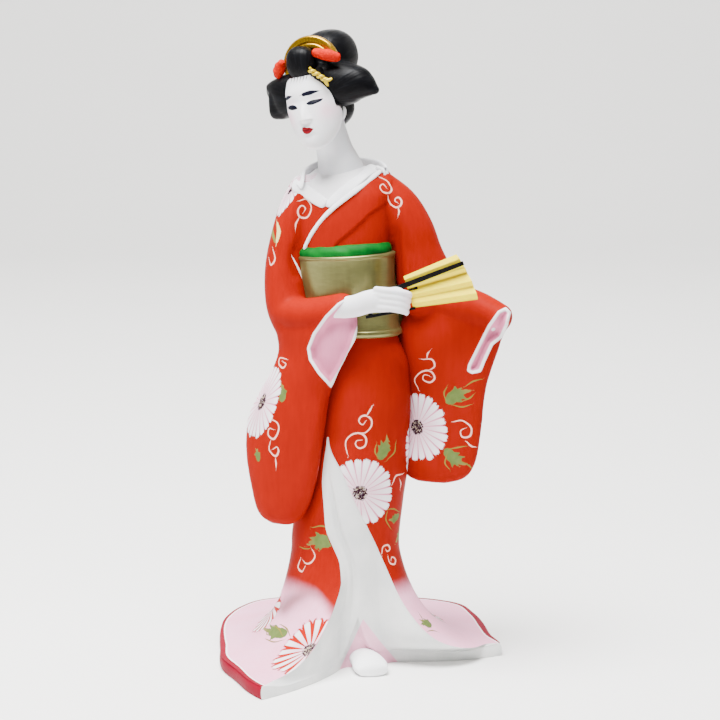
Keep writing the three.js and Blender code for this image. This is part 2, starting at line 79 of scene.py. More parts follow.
# Outline of the hem on the ground: angle from the front, radius
HEM_OUTLINE = [
    (95.6, 78.9), (110, 79), (124.8, 87.7), (138, 101), (148, 114), (156, 117), (168, 115.5), (182, 115),
    (196, 117.5), (205.5, 116), (213.2, 107.6), (223, 95.5), (241, 77), (261.5, 66.5), (288, 67),
    (311.5, 72.5), (324, 81.5), (331.9, 88.2),
]
# Radius of the open front, from the left edge to the right edge
OPEN_FRONT = [
    (0, 88.2), (0.035, 69), (0.069, 49.7), (0.1, 35), (0.145, 22.5), (0.22, 19.5), (0.5, 19), (0.7, 20),
    (0.84, 23), (0.885, 33), (0.91, 44), (0.94, 59), (1, 78.9),
]
# Height, centre across, centre in depth, half width, half depth, yaw
SKIRT = [
    (0, -5, 1, 22, 20, 0), (62, -6.5, 1, 26.3, 21, 0), (83, -4, 0, 25.8, 20.5, -4),
    (103, -0.5, -1, 24.8, 20.5, -8), (134, 0.5, -1, 26, 20.5, -14), (150, 0, 0, 26, 20, -18),
    (168, -3.7, 1, 24, 17.5, -24), (180, -5, 1, 23, 16.5, -25),
]
# Height, left edge and right edge of the white lining, in degrees from the front
LINING = [
    (0, OPEN_LEFT, OPEN_RIGHT), (TOP_OF_HEM, OPEN_LEFT, OPEN_RIGHT), (8, -26.3, 84), (10, -24, 75),
    (13, -21.8, 68), (16, -20, 64), (20, -18, 61.5), (26, -15, 59.5), (36, -9.5, 56), (46, -5, 53),
    (54, -7, 49), (62, -16, 42), (72, -29, 28), (84, -38, 8), (101, -50, -20), (118, -46, -43),
    (180, -46, -42),
]

# Upper body: height, centre across, centre in depth, half width, half depth, yaw, tilt
TORSO = [
    (160, -2, 1, 23, 17, -22, 0), (176, -4.5, 1, 23, 17, -25, 0.03),
    (188, -5.5, 1, 22.5, 16.5, -25, 0.05), (207, -7.3, 1, 24, 17, -25, 0.06),
    (222, -8.5, 2, 25.5, 17, -25, 0.09), (233, -9.5, 3, 25.5, 15.5, -25, 0.12),
    (241, -10, 5, 22.5, 14.5, -25, 0.13), (246, -9.5, 7, 18, 13.5, -25, 0.1),
    (250, -8, 8.5, 13, 11, -25, 0.05),
]
CHEST_BAND = [
    (203, -7.4, 0, 23.5, 17.5, -25, 0.06), (206, -7.5, 0, 26, 19.5, -25, 0.06),
    (209.5, -7.7, 0, 27, 20, -25, 0.07), (212.5, -7.9, 0.5, 25.8, 18.8, -25, 0.08),
    (214, -8, 1, 23, 16, -25, 0.08),
]
RIGHT_BAG = [
    (73, -38.5, -11, 5.5, 2, -28, 0), (75, -38.6, -11, 9.9, 4.6, -28, 0),
    (79, -38.5, -11, 13.4, 5.8, -28, 0), (88, -37.9, -11, 16.8, 6.6, -28, 0),
    (108, -37.4, -11.5, 21, 6.8, -28, 0), (123, -36, -12, 21.8, 7, -28, 0),
    (139, -31.5, -12.5, 19.6, 7.2, -29, 0), (150, -26.5, -14, 18.5, 7.6, -31, 0),
    (160, -22.5, -15.5, 19.6, 8, -33, 0), (170, -20.5, -16.5, 23, 8.4, -33, 0.03),
    (179, -20, -16.5, 22, 8, -33, 0.08), (186, -21, -16, 15, 4.5, -33, 0.14),
]
LEFT_BAG = [
    (92.5, 37, -3, 8, 2, -26), (95, 38.2, -4, 15, 4.6, -26), (99, 39.4, -4.5, 18.4, 5.8, -26),
    (107, 40.6, -5, 20.4, 6.4, -26), (118, 41.8, -5.5, 21, 6.6, -27), (130, 42.6, -6, 21.4, 6.8, -27),
    (142, 42.6, -6.5, 23, 7, -27), (153, 43.4, -7, 25.4, 7.2, -27), (164, 44.6, -7.5, 28, 7.4, -27),
    (175, 48, -8, 28.6, 7.6, -27), (183, 49.5, -9, 26, 7, -27), (189, 50, -9, 15, 4, -27),
]
RIGHT_UPPER_ARM = [
    (-25.5, 5, 239.5, 8.6, 9.5), (-30, 5, 229, 9.4, 11), (-33.6, 5, 215, 10, 12),
    (-35.8, 4, 202, 10.5, 12), (-36, 1, 190, 10.8, 11.5), (-34.5, -3, 180, 10.8, 10.5),
    (-31, -7, 170, 9.5, 8.5),
]
RIGHT_FOREARM = [
    (-36, -5, 178.5, 8.6, 8.5), (-27, -13, 178, 8.6, 9), (-16, -20, 179.8, 8.6, 9),
    (-7, -25, 182.4, 8.2, 8.2),
]
LEFT_UPPER_ARM = [
    (10, 4, 239, 10, 9.5), (19, 3, 230, 11.5, 11.5), (25.5, 2, 219, 12, 12), (29.5, 1, 207, 12.5, 12),
    (33, -1, 196, 14.5, 11.5), (37.5, -4, 187, 16, 10.5),
]
LEFT_FOREARM = [
    (38, -2, 187, 10, 9.5), (48, -8, 184, 9.5, 9.2), (59, -14, 181, 9, 8.6), (70, -20, 177.5, 7, 7),
]

# Obi: height and how far it stands out from the body
OBI_PROFILE = [
    (167, 0.6), (167.15, 2), (167.9, 2.9), (168.9, 3.3), (169.9, 3.2), (170.5, 2.75), (171, 2.55),
    (180, 2.7), (188, 2.75), (196, 2.7), (205.4, 2.5), (205.9, 2.7), (206.4, 3.0), (206.9, 3.05),
    (207.4, 2.8), (207.8, 2.1), (208, 0.8),
]
KNOT_WIDTH, KNOT_HEIGHT, KNOT_DEPTH, KNOT_LOW = 46, 48, 15, 165
# Knot: share of its height, centre in depth, share of its width, share of its depth
KNOT = [
    (0, 22, 0.8, 0.5), (1 / 16, 22, 0.94, 0.85), (1 / 4, 22.5, 1, 1), (3 / 4, 22.5, 1, 1),
    (11 / 12, 21.5, 0.98, 0.95), (1, 20.5, 0.9, 0.5),
]

# Head, in its own frame with the face to -Y, and its place
HEAD_AT, HEAD_SCALE = (-20.2, -3.5, 281.5), 1.06
HEAD_YAW, HEAD_BOW, HEAD_ROLL = math.radians(-25), math.radians(4), math.radians(-13)
FACE = [
    (-20, 0, -9.5, 2.6, 2.6), (-19, 0, -9, 5, 4.6), (-16, 0, -7, 8.2, 7.6), (-11, 0, -4.5, 11, 10.6),
    (-5, 0, -2.6, 12.7, 12.2), (1, 0, -1.6, 13.4, 12.9), (7, 0, -1, 13.4, 12.9), (13, 0, 0, 12, 12),
    (17, 0, 0, 9, 9),
]
NECK = [
    (-8, 5, 242, 14, 11), (-9.2, 4.5, 250, 11.4, 10), (-11.5, 3.5, 258, 9.2, 9),
    (-14, 1.5, 266, 8.8, 8.8), (-16.5, -0.5, 275, 8.8, 9),
]

# Fan
FAN_PIVOT, FAN_YAW = (3, -28.5, 177), math.radians(-5)
# The open leaf's corners across and up from the pivot: inner low, outer low, outer high, inner high
FAN_LEAF = [(23.9, 7.1), (55.4, 11.5), (44.8, 33.2), (19.2, 22.2)]
# How far its outer edge bulges and its folds stand out past it, as shares of its length
LEAF_BULGE, LEAF_NOTCH = 0.035, 0.008
RIVET_AT = (3, 0.6, 3.2)
# Share of the way from the leaf's upper edge to its lower edge, and how far forward it is folded
FAN_FOLDS = [
    (0, 0.3), (0.1, 1), (0.2, -0.2), (0.31, 1), (0.42, -1), (0.6, 1), (0.73, -0.6), (0.87, 0.9),
    (1, -0.4),
]
# Sticks: start and end across and up from the pivot, width, depth, place in depth
FAN_STICKS = [
    ((15.2, 16.3), (48.4, 29.3), 2.4, 0.9, -2.3), ((9, 10.5), (26, 16.8), 1.5, 0.8, 0.1),
    ((14, 9.4), (26, 13), 1.2, 0.8, 0.1), ((0.8, 2.1), (25, 6.8), 1.4, 1, -0.4),
]

# Petals of an open blossom, and of one on the hem
PETALS, HEM_PETALS = 23, 17
# Brush stroke colours, from tint 1 up: spray, gold, olive, pale, ink, rouge and cream, the cream a painted
# highlight
STROKE_COLOURS = [
    (250, 186, 170), (124, 112, 48), (112, 116, 58), (255, 244, 240), (14, 14, 28), (150, 10, 30),
    (226, 206, 132),
]
SPRAY, GOLD_LINE, OLIVE, PALE, INK, CREAM_HIGHLIGHT = 1, 2, 3, 4, 5, 7
# Millimetres that one pixel of the picture covers
PIXEL = 0.5
# What is stored where there is no hem, no rim and no hairline near
FAR_ABOVE_HEM, FAR_FROM_EDGE = 60.0, -9.0


def srgb(red, green, blue):
    """A colour read off the doll as 0 to 255, as linear values."""
    def linear(value):
        value /= 255
        return value / 12.92 if value <= 0.04045 else ((value + 0.055) / 1.055) ** 2.4
    return linear(red), linear(green), linear(blue)


class DollSizes(bpy.types.PropertyGroup):
    """Sizes that a maker would change."""
    hem_fold: bpy.props.FloatProperty(name="Fold depth", description="Depth of the robe's long folds",
                                      default=0.0016, unit="LENGTH")
    lining_recess: bpy.props.FloatProperty(name="Under-robe recess",
                                           description="How far the under-robe lies behind the lining",
                                           default=0.0035, unit="LENGTH")
    robe_grain: bpy.props.FloatProperty(name="Sleeve grain",
                                        description="Face size of the modelled upper robe", default=0.00085,
                                        unit="LENGTH")
    cuff_depth: bpy.props.FloatProperty(name="Cuff depth", description="Depth of the sleeve openings",
                                        default=0.0042, unit="LENGTH")
    pleat_height: bpy.props.FloatProperty(name="Pleat height", description="Half height of the fan's pleats",
                                          default=0.0012, unit="LENGTH")
    nose_height: bpy.props.FloatProperty(name="Nose", description="Height of the nose over the face",
                                         default=0.0030, unit="LENGTH")


class DollPaints(bpy.types.PropertyGroup):
    """Paints that a maker would change."""
    robe_red: bpy.props.FloatVectorProperty(name="Robe", description="Vermilion of the robe", subtype="COLOR",
                                            default=srgb(138, 19, 6))
    hem_pink: bpy.props.FloatVectorProperty(name="Hem", description="Pale pink at the hem", subtype="COLOR",
                                            default=srgb(240, 170, 198))
    rim_crimson: bpy.props.FloatVectorProperty(name="Rim", description="Crimson of the rolled hem",
                                               subtype="COLOR", default=srgb(124, 0, 32))
    # The lining's white is greyer than the collars' white: painted shade
    shaded_lining_white: bpy.props.FloatVectorProperty(name="Lining", description="White of lining and collars",
                                                subtype="COLOR", default=srgb(228, 228, 226))
    skin_white: bpy.props.FloatVectorProperty(name="Skin", description="White of face and hands",
                                              subtype="COLOR", default=srgb(236, 234, 236))
    gold: bpy.props.FloatVectorProperty(name="Gold", description="Gold paint of the obi", subtype="COLOR",
                                        default=srgb(114, 112, 66))
    band_green: bpy.props.FloatVectorProperty(name="Chest band", description="Green of the band over the obi",
                                              subtype="COLOR", default=srgb(0, 84, 26))
    hair_black: bpy.props.FloatVectorProperty(name="Hair", description="Black of the hair", subtype="COLOR",
                                              default=srgb(8, 8, 10))
    fan_gold: bpy.props.FloatVectorProperty(name="Fan", description="Pale gold of the fan's paper",
                                            subtype="COLOR", default=srgb(255, 226, 24))


def sizes():
    return bpy.context.scene.doll_sizes


def paints():
    return bpy.context.scene.doll_paints


# Shapes
def smooth(value):
    value = np.clip(value, 0, 1)
    return value * value * (3 - 2 * value)


def sample(table, keys, loose=False):
    """Rows of a table read at any key, on curves that keep each step's direction, or swing if loose."""
    rows = np.array(table, float)
    x, y = rows[:, 0], rows[:, 1:]
    gap = np.diff(x)
    slope = np.diff(y, axis=0) / gap[:, None]
    tangent = np.vstack([slope[:1], slope[:-1] * 0, slope[-1:]])
    both = slope[:-1] * slope[1:]
    total = np.where(both > 0, slope[:-1] + slope[1:], 1)
    tangent[1:-1] = np.where(both > 0, 2 * both / total, 0)
    if loose:
        near = gap[:-1, None] + gap[1:, None]
        tangent[1:-1] = (slope[:-1] * gap[1:, None] + slope[1:] * gap[:-1, None]) / near
    keys = np.clip(np.asarray(keys, float), x[0], x[-1])
    k = np.clip(np.searchsorted(x, keys, "right") - 1, 0, len(x) - 2)
    t = ((keys - x[k]) / gap[k])[..., None]
    h = gap[k][..., None]
    return ((2 * t**3 - 3 * t**2 + 1) * y[k] + (t**3 - 2 * t**2 + t) * h * tangent[k]
            + (3 * t**2 - 2 * t**3) * y[k + 1] + (t**3 - t**2) * h * tangent[k + 1])


def along(rows, shares):
    """Points on a smooth curve through all the rows, at shares of its run."""
    rows = np.array(rows, float)
    rows = np.vstack([2 * rows[0] - rows[1], rows, 2 * rows[-1] - rows[-2]])
    place = np.clip(np.asarray(shares, float), 0, 1) * (len(rows) - 3)
    i = np.minimum(place.astype(int), len(rows) - 4)
    f = (place - i)[:, None]
    a, b, c, d = rows[i], rows[i + 1], rows[i + 2], rows[i + 3]
    return 0.5 * (2 * b + (c - a) * f + (2 * a - 5 * b + 4 * c - d) * f**2 + (3 * b - a - 3 * c + d) * f**3)


def spun(p, q, angle):
    """Two coordinates turned about the third axis."""
    c, s = np.cos(angle), np.sin(angle)
    return p * c - q * s, p * s + q * c


def to_doll(points):
    """Layout millimetres into the doll's frame in metres."""
    u, v, z = np.moveaxis(points, -1, 0)
    return np.stack([*spun(u, v, TURN), z], -1) / 1000


def to_layout(points):
    """The doll's frame in metres back into layout millimetres."""
    x, y, z = np.moveaxis(points, -1, 0)
    return np.stack([*spun(x, y, -TURN), z], -1) * 1000


def unit(vectors):
    return vectors / np.maximum(np.linalg.norm(vectors, axis=-1, keepdims=True), 1e-9)


def squared(value, power):
    """A sine or cosine for an oval with fuller corners, the fuller the higher the power."""
    return np.sign(value) * np.abs(value) ** (2 / power)


def oval(around, power):
    w = 2 * math.pi * np.arange(around) / around
    return squared(np.cos(w), power), squared(np.sin(w), power)


def oval_rings(centre, side, up, wide, high, around, power):
    across, rise = oval(around, power)
    return (centre[:, None] + side[:, None] * wide[:, None, None] * across[None, :, None]
            + up[:, None] * high[:, None, None] * rise[None, :, None])


def level_rings(table, heights, around, power=2, grow=0):
    """Level rings: each row has height, centre, half sizes, yaw and tilt."""
    rows = sample(table, heights)
    rows = np.hstack([rows, np.zeros((len(rows), 6 - rows.shape[1]))])
    u, v, a, b, yaw, tilt = (column[:, None] for column in rows.T)
    across, rise = oval(around, power)
    grow = np.asarray(grow, float).reshape(-1, 1)
    x, y = spun((a + grow) * across, (b + grow) * rise, np.radians(yaw))
    return np.stack([u + x, v + y, np.reshape(heights, (-1, 1)) + tilt * x], -1)


def limb_rings(rows, around, count, ref, power, cap):
    """Rings along a path with rounded ends: each row has a place and two half sizes."""
    t = np.linspace(0, 1, count + 1)
    data = along(rows, t)
    heading = unit(along(rows, np.minimum(t + 0.01, 1))[:, :3] - along(rows, np.maximum(t - 0.01, 0))[:, :3])
    push = np.zeros(len(t))
    scale = np.ones(len(t))
    ends = np.radians(np.linspace(0, 90, cap + 2)[1:-1])
    data = np.vstack([np.repeat(data[:1], cap, 0), data, np.repeat(data[-1:], cap, 0)])
    heading = np.vstack([np.repeat(heading[:1], cap, 0), heading, np.repeat(heading[-1:], cap, 0)])
    push = np.concatenate([-0.8 * np.sin(ends[::-1]), push, 0.8 * np.sin(ends)])
    scale = np.concatenate([np.cos(ends[::-1]), scale, np.cos(ends)])
    side = unit(np.cross(np.array(ref, float), heading))
    up = np.cross(heading, side)
    a, b = data[:, 3], data[:, 4]
    centre = data[:, :3] + heading * (push * np.minimum(a, b))[:, None]
    rings = oval_rings(centre, side, up, a * scale, b * scale, around, power)
    low = data[0, :3] - heading[0] * 0.8 * min(a[0], b[0])
    high = data[-1, :3] + heading[-1] * 0.8 * min(a[-1], b[-1])
    return rings, low, high


def deselect():
    for thing in list(bpy.context.selected_objects):
        thing.select_set(False)


def choose(piece):
    deselect()
    piece.select_set(True)
    bpy.context.view_layer.objects.active = piece


def gather(things, name, width=3, kind=np.float32):
    """What every vertex, corner or face of a mesh has under a name."""
    values = np.empty(len(things) * width, kind)
    things.foreach_get(name, values)
    return values.reshape(-1, width).astype(float) if width > 1 else values


def read(mesh):
    return gather(mesh.vertices, "co")


def write(mesh, points):
    mesh.vertices.foreach_set("co", np.asarray(points, np.float32).ravel())
    mesh.update()


def finish_with(piece, kind, **settings):
    """Adds one modifier with its settings and applies it."""
    choose(piece)
    modifier = piece.modifiers.new(kind.title(), kind)
    for name, value in settings.items():
        setattr(modifier, name, value)
    bpy.ops.object.modifier_apply(modifier=modifier.name)


def grown_together(piece, grain, rounds):
    """Makes overlapping parts one skin, with its seams smoothed in rounds."""
    finish_with(piece, "REMESH", mode="VOXEL", voxel_size=grain, adaptivity=0)
    finish_with(piece, "SMOOTH", factor=0.5, iterations=rounds)


def face_outwards(piece):
    choose(piece)
    bpy.ops.object.mode_set(mode="EDIT")
    bpy.ops.mesh.select_all(action="SELECT")
    bpy.ops.mesh.remove_doubles(threshold=1e-6)
    bpy.ops.mesh.normals_make_consistent(inside=False)
    bpy.ops.object.mode_set(mode="OBJECT")


def soft_shade(piece, angle=40):
    choose(piece)
    bpy.ops.object.shade_smooth_by_angle(angle=math.radians(angle))


def ring_body(name, rings, low, high, place=None):
    """A ball pulled to rings of points, given from low to high."""
    count, around = rings.shape[:2]
    deselect()
    bpy.ops.mesh.primitive_uv_sphere_add(segments=around, ring_count=count + 1, radius=1)
    body = bpy.context.object
    body.name = body.data.name = name
    co = read(body.data)
    ring = np.rint(np.arccos(np.clip(co[:, 2], -1, 1)) / math.pi * (count + 1)).astype(int)
    column = np.rint(np.arctan2(co[:, 1], co[:, 0]) / (2 * math.pi) * around).astype(int) % around
    points = np.empty_like(co)
    inner = (ring > 0) & (ring <= count)
    points[inner] = rings[count - ring[inner], column[inner]]
    points[ring == 0] = high
    points[ring == count + 1] = low
    if place is not None:
        points = place(points)
    write(body.data, to_doll(points))
    face_outwards(body)
    return body


def level_body(name, table, heights, around, power=2, grow=0):
    rings = level_rings(table, heights, around, power, grow)
    return ring_body(name, rings, rings[0].mean(0), rings[-1].mean(0))


def limb(name, rows, around, count, ref=(0, -1, 0), power=2, cap=4, place=None):
    return ring_body(name, *limb_rings(rows, around, count, ref, power, cap), place)


def joined(name, pieces):
    """Several pieces made one."""
    deselect()
    for piece in pieces:
        piece.select_set(True)
    bpy.context.view_layer.objects.active = pieces[0]
    bpy.ops.object.join()
    pieces[0].name = pieces[0].data.name = name
    return pieces[0]


def dress(piece, material, node="figure", angle=40):
    """Shades a finished piece, gives it its paint and sets it on the body."""
    soft_shade(piece, angle)
    for paint in material if isinstance(material, list) else [material]:
        piece.data.materials.append(paint)
    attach(piece, "root")
    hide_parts(node)
    return piece


def place_head(points):
    """Head millimetres into layout millimetres."""
    x, y, z = np.moveaxis(points * HEAD_SCALE, -1, 0)
    y, z = spun(y, z, HEAD_BOW)
    z, x = spun(z, x, HEAD_ROLL)
    x, y = spun(x, y, HEAD_YAW)
    return np.stack([x, y, z], -1) + np.array(HEAD_AT)


def from_head(points):
    """Layout millimetres back into head millimetres."""
    x, y, z = np.moveaxis(points - np.array(HEAD_AT), -1, 0)
    x, y = spun(x, y, -HEAD_YAW)
    z, x = spun(z, x, -HEAD_ROLL)
    y, z = spun(y, z, -HEAD_BOW)
    return np.stack([x, y, z], -1) / HEAD_SCALE


def head_limb(name, rows, around, count, ref=(0, -1, 0), power=2):
    return limb(name, rows, around, count, ref, power, place=place_head)


class Eye:
    """A place to look from, with a picture plane, for laying paint where it is seen."""

    def __init__(self, azimuth, elevation=CAMERA_ELEVATION):
        a, e = math.radians(azimuth), math.radians(elevation)
        away = np.array([math.sin(a) * math.cos(e), -math.cos(a) * math.cos(e), math.sin(e)])
        self.place = np.array(CAMERA_TARGET) + away * CAMERA_DISTANCE
        self.forward = -away
        self.right = np.array([math.cos(a), math.sin(a), 0])
        self.up = np.cross(self.right, self.forward)
        self.scale = CAMERA_LENS / CAMERA_SENSOR * PICTURE

    def seen(self, points):
        """Picture places of points in metres."""
        away = points * 1000 - self.place
        depth = away @ self.forward
        return np.stack([PICTURE / 2 + self.scale * (away @ self.right) / depth,
                         PICTURE / 2 - self.scale * (away @ self.up) / depth], -1)

    def ray(self, x, y):
        across, rise = (x - PICTURE / 2) / self.scale, (PICTURE / 2 - y) / self.scale
        heading = self.forward + self.right * across + self.up * rise
        return Vector(self.place / 1000), Vector(heading).normalized()


FRONT, BACK, LEFT_SIDE, RIGHT_SIDE = (Eye(CAMERA_AZIMUTH + turn) for turn in (0, 180, 90, -90))


def inside_by(points, outline):
    """How far inside an outline points lie, less than nothing outside."""
    outline = np.array(outline, float)
    nearest = np.full(len(points), np.inf)
    crossed = np.zeros(len(points), bool)
    for p, q in zip(outline, np.roll(outline, -1, 0)):
        edge = q - p
        t = np.clip(((points - p) @ edge) / max(edge @ edge, 1e-9), 0, 1)
        nearest = np.minimum(nearest, np.linalg.norm(points - p - t[:, None] * edge, axis=1))
        spans = (p[1] > points[:, 1]) != (q[1] > points[:, 1])
        if edge[1]:
            crossed ^= spans & (points[:, 0] < p[0] + (points[:, 1] - p[1]) * edge[0] / edge[1])
    return np.where(crossed, nearest, -nearest)


def tree_of(mesh, points):
    return BVHTree.FromPolygons([Vector(p) for p in points], [tuple(f.vertices) for f in mesh.polygons])


class Canvas:
    """The faces and corners of a finished piece, on which brush strokes, leaves and blossoms are laid."""

    def __init__(self, piece):
        mesh = self.mesh = piece.data
        self.points = read(mesh)
        self.corners = self.points[gather(mesh.loops, "vertex_index", 1, np.int32)] * 1000
        self.normals = gather(mesh.polygons, "normal")
        self.centres = gather(mesh.polygons, "center") * 1000
        order = np.argsort(gather(mesh.polygons, "loop_start", 1, np.int32))
        self.owner = np.repeat(order, gather(mesh.polygons, "loop_total", 1, np.int32)[order])
        self.tree = tree_of(mesh, self.points)
        self.layers = {}

    def layer(self, name):
        if name not in self.layers:
            self.layers[name] = (np.zeros((len(self.corners), 3)), np.full(len(self.centres), np.inf))
        return self.layers[name]

    def touch(self, x, y, eye):
        """The point and normal that a picture place meets."""
        place, normal, _, _ = self.tree.ray_cast(*eye.ray(x, y))
        return (None, None) if place is None else (np.array(place) * 1000, np.array(normal))

    def corners_of(self, faces):
        wanted = np.zeros(len(self.centres), bool)
        wanted[faces] = True
        return np.nonzero(wanted[self.owner])[0]

    def stroke(self, name, path, width, tint=1, eye=FRONT, taper=(0.5, 1, 0.35)):
        """One brush stroke through picture places: how wide in millimetres, and how it swells."""
        path = np.array(path, float)
        run = np.linalg.norm(np.diff(path, axis=0), axis=1).sum()
        shares = np.linspace(0, 1, max(int(run * 1.2), 6))
        hits = [(s, *self.touch(x, y, eye)) for s, (x, y) in zip(shares, along(path, shares))]
        hits = [h for h in hits if h[1] is not None]
        if len(hits) < 3:
            return
        s = np.array([h[0] for h in hits])
        line = np.array([h[1] for h in hits])
        normal = np.array([h[2] for h in hits])
        heading = unit(np.gradient(line, axis=0))
        half = np.maximum(np.interp(s, [0, 0.5, 1], taper) * width / 2, 0.05)
        values, best = self.layer(name)
        reach = width / 2 + 1.3
        inside = (self.centres > line.min(0) - reach) & (self.centres < line.max(0) + reach)
        near = np.nonzero(inside.all(1))[0]
        if not len(near):
            return
        apart = np.linalg.norm(self.centres[near][:, None] - line[None], axis=2)
        k = apart.argmin(1)
        gap = apart.min(1)
        keep = (gap < reach) & ((self.normals[near] * normal[k]).sum(1) > 0.1) & (gap < best[near])
        near, k, gap = near[keep], k[keep], gap[keep]
        best[near] = gap
        nearest = np.zeros(len(self.centres), int)
        nearest[near] = k
        corners = self.corners_of(near)
        kf = nearest[self.owner[corners]]
        apart = np.linalg.norm(self.corners[corners][:, None] - line[None], axis=2)
        apart[np.abs(np.arange(len(line))[None] - kf[:, None]) > 6] = np.inf
        k = apart.argmin(1)
        offset = self.corners[corners] - line[k]
        ahead = (offset * heading[k]).sum(1)
        side = unit(np.cross(self.normals[self.owner[corners]], heading[k]))
        across = (offset * side).sum(1)
        past = ((k == 0) & (ahead < 0)) | ((k == len(line) - 1) & (ahead > 0))
        across = np.where(past, np.sign(across + 1e-9) * np.hypot(across, ahead), across)
        values[corners] = np.stack([across / half[k], s[k], np.full(len(k), float(tint))], 1)

    def frame_at(self, x, y, eye):
        place, normal = self.touch(x, y, eye)
        if place is None:
            return None
        right = unit(np.cross(np.array([0.0, 0, 1]), normal))
        if (right @ eye.right) < 0:
            right = -right
        up = np.cross(normal, right)
        return place, normal, right, up if up @ eye.up > 0 else -up

    def flat(self, corners, place, right, up):
        """Places on the surface about a point, unrolled."""
        offset = self.corners[corners] - place
        x, y = offset @ right, offset @ up
        flat = np.maximum(np.hypot(x, y), 1e-6)
        stretch = np.minimum(np.linalg.norm(offset, axis=1) / flat, 1.6)
        return x * stretch, y * stretch

    def blossom(self, x, y, radius, kind, eye=FRONT, turn=0, squeeze=1, cut=99):
        """An open blossom at a picture place, squeezed where it turns away and cut at a seam."""
        at = self.frame_at(x, y, eye)
        if at is None:
            return
        place, normal, right, up = at
        values, best = self.layer("blossom")
        gap = np.linalg.norm(self.centres - place, axis=1)
        facing = self.normals @ normal > (-0.35 if squeeze < 1 else 0.2)
        near = np.nonzero((gap < radius * 1.3) & facing & (gap < best))[0]
        best[near] = gap[near]
        corners = self.corners_of(near)
        across, rise = self.flat(corners, place, right, up)
        x, y = spun(across, rise, -math.radians(turn))
        shown = np.where(across > -cut, float(kind), 0)
        values[corners] = np.stack([x / squeeze / radius, y / radius, shown], 1)

    def leaf(self, x, y, length, turn, eye=FRONT, flip=1, steep=True):
        """A flame-edged leaf, turned from pointing right. On flat ground it is drawn out as seen."""
        at = self.frame_at(x, y, eye)
        if at is None:
            return
        place, normal, right, up = at
        tip, edge = np.array(LEAF, float).T
        outline = np.stack(spun(tip, edge * flip, math.radians(turn)), 1) * length / 2
        values, best = self.layer("leaf")
        if steep:
            gap = np.linalg.norm(self.centres - place, axis=1)
        else:
            gap = np.linalg.norm(eye.seen(self.centres / 1000) - (x, y), axis=1) * PIXEL
        near = np.nonzero((gap < length * 0.7) & (self.normals @ normal > -0.1) & (gap < best))[0]
        best[near] = gap[near]
        corners = self.corners_of(near)
        across, rise = self.flat(corners, place, right, up)
        if not steep:
            seen = eye.seen(self.corners[corners] / 1000)
            across, rise = (seen[:, 0] - x) * PIXEL, (y - seen[:, 1]) * PIXEL
        depth = inside_by(np.stack([across, rise], 1), outline)
        run = spun(across, rise, -math.radians(turn))[0] / length
        values[corners] = np.stack([depth, run, np.ones(len(corners))], 1)

    def fill(self, name, outline, eye=FRONT, facing=0.0):
        """A painted shape given by picture places, on what faces the eye."""
        values, best = self.layer(name)
        ahead = -(self.normals @ eye.forward)
        seen = eye.seen(self.centres / 1000)
        outline = np.array(outline, float)
        box = ((seen > outline.min(0) - 6) & (seen < outline.max(0) + 6)).all(1)
        near = np.nonzero((ahead > facing) & box)[0]
        first = self.touch(*outline.mean(0), eye)[0]
        if first is not None:
            near = near[np.abs((self.centres[near] - first) @ eye.forward) < 22]
        best[near] = 0
        corners = self.corners_of(near)
        depth = inside_by(eye.seen(self.corners[corners] / 1000), outline) * PIXEL
        values[corners] = np.stack([depth, self.corners[corners][:, 2], np.ones(len(corners))], 1)

    def keep(self):
        """Stores what was painted on the mesh."""
        for name, (values, _) in self.layers.items():
            store = self.mesh.attributes.new(name, "FLOAT_VECTOR", "CORNER")
            store.data.foreach_set("vector", values.astype(np.float32).ravel())


def point_values(mesh, name, values):
    """Stores one value a point, or the same one everywhere."""
    store = mesh.attributes.new(name, "FLOAT", "POINT")
    store.data.foreach_set("value", np.full(len(mesh.vertices), values, np.float32))


# Length in millimetres of the painted leaves on the hidden sides
HIDDEN_LEAF = 15
# A flame-edged leaf pointing right, in half lengths
LEAF = [
    (-1, 0), (-0.9, 0.24), (-0.6, 0.4), (-0.3, 0.42), (0.05, 0.8), (0.02, 0.44), (0.5, 0.78),
    (0.32, 0.34), (0.62, 0.36), (1.25, 0.62), (0.78, 0.14), (0.42, -0.04), (0.9, -0.06), (0.3, -0.26),
    (0.42, -0.56), (0, -0.38), (-0.4, -0.42), (-0.8, -0.28),
]


# Paints
class Wire:
    """A value on its way through the nodes of a paint. It is reckoned with like a number."""

    def __init__(self, paint, socket):
        self.paint, self.socket = paint, socket

    def __add__(self, other):
        return self.paint.calc("ADD", self, other)

    def __radd__(self, other):
        return self.paint.calc("ADD", other, self)

    def __sub__(self, other):
        return self.paint.calc("SUBTRACT", self, other)

    def __rsub__(self, other):
        return self.paint.calc("SUBTRACT", other, self)

    def __mul__(self, other):
        return self.paint.calc("MULTIPLY", self, other)

    def __truediv__(self, other):
        return self.paint.calc("DIVIDE", self, other)

    def __gt__(self, other):
        return self.paint.calc("GREATER_THAN", self, other)


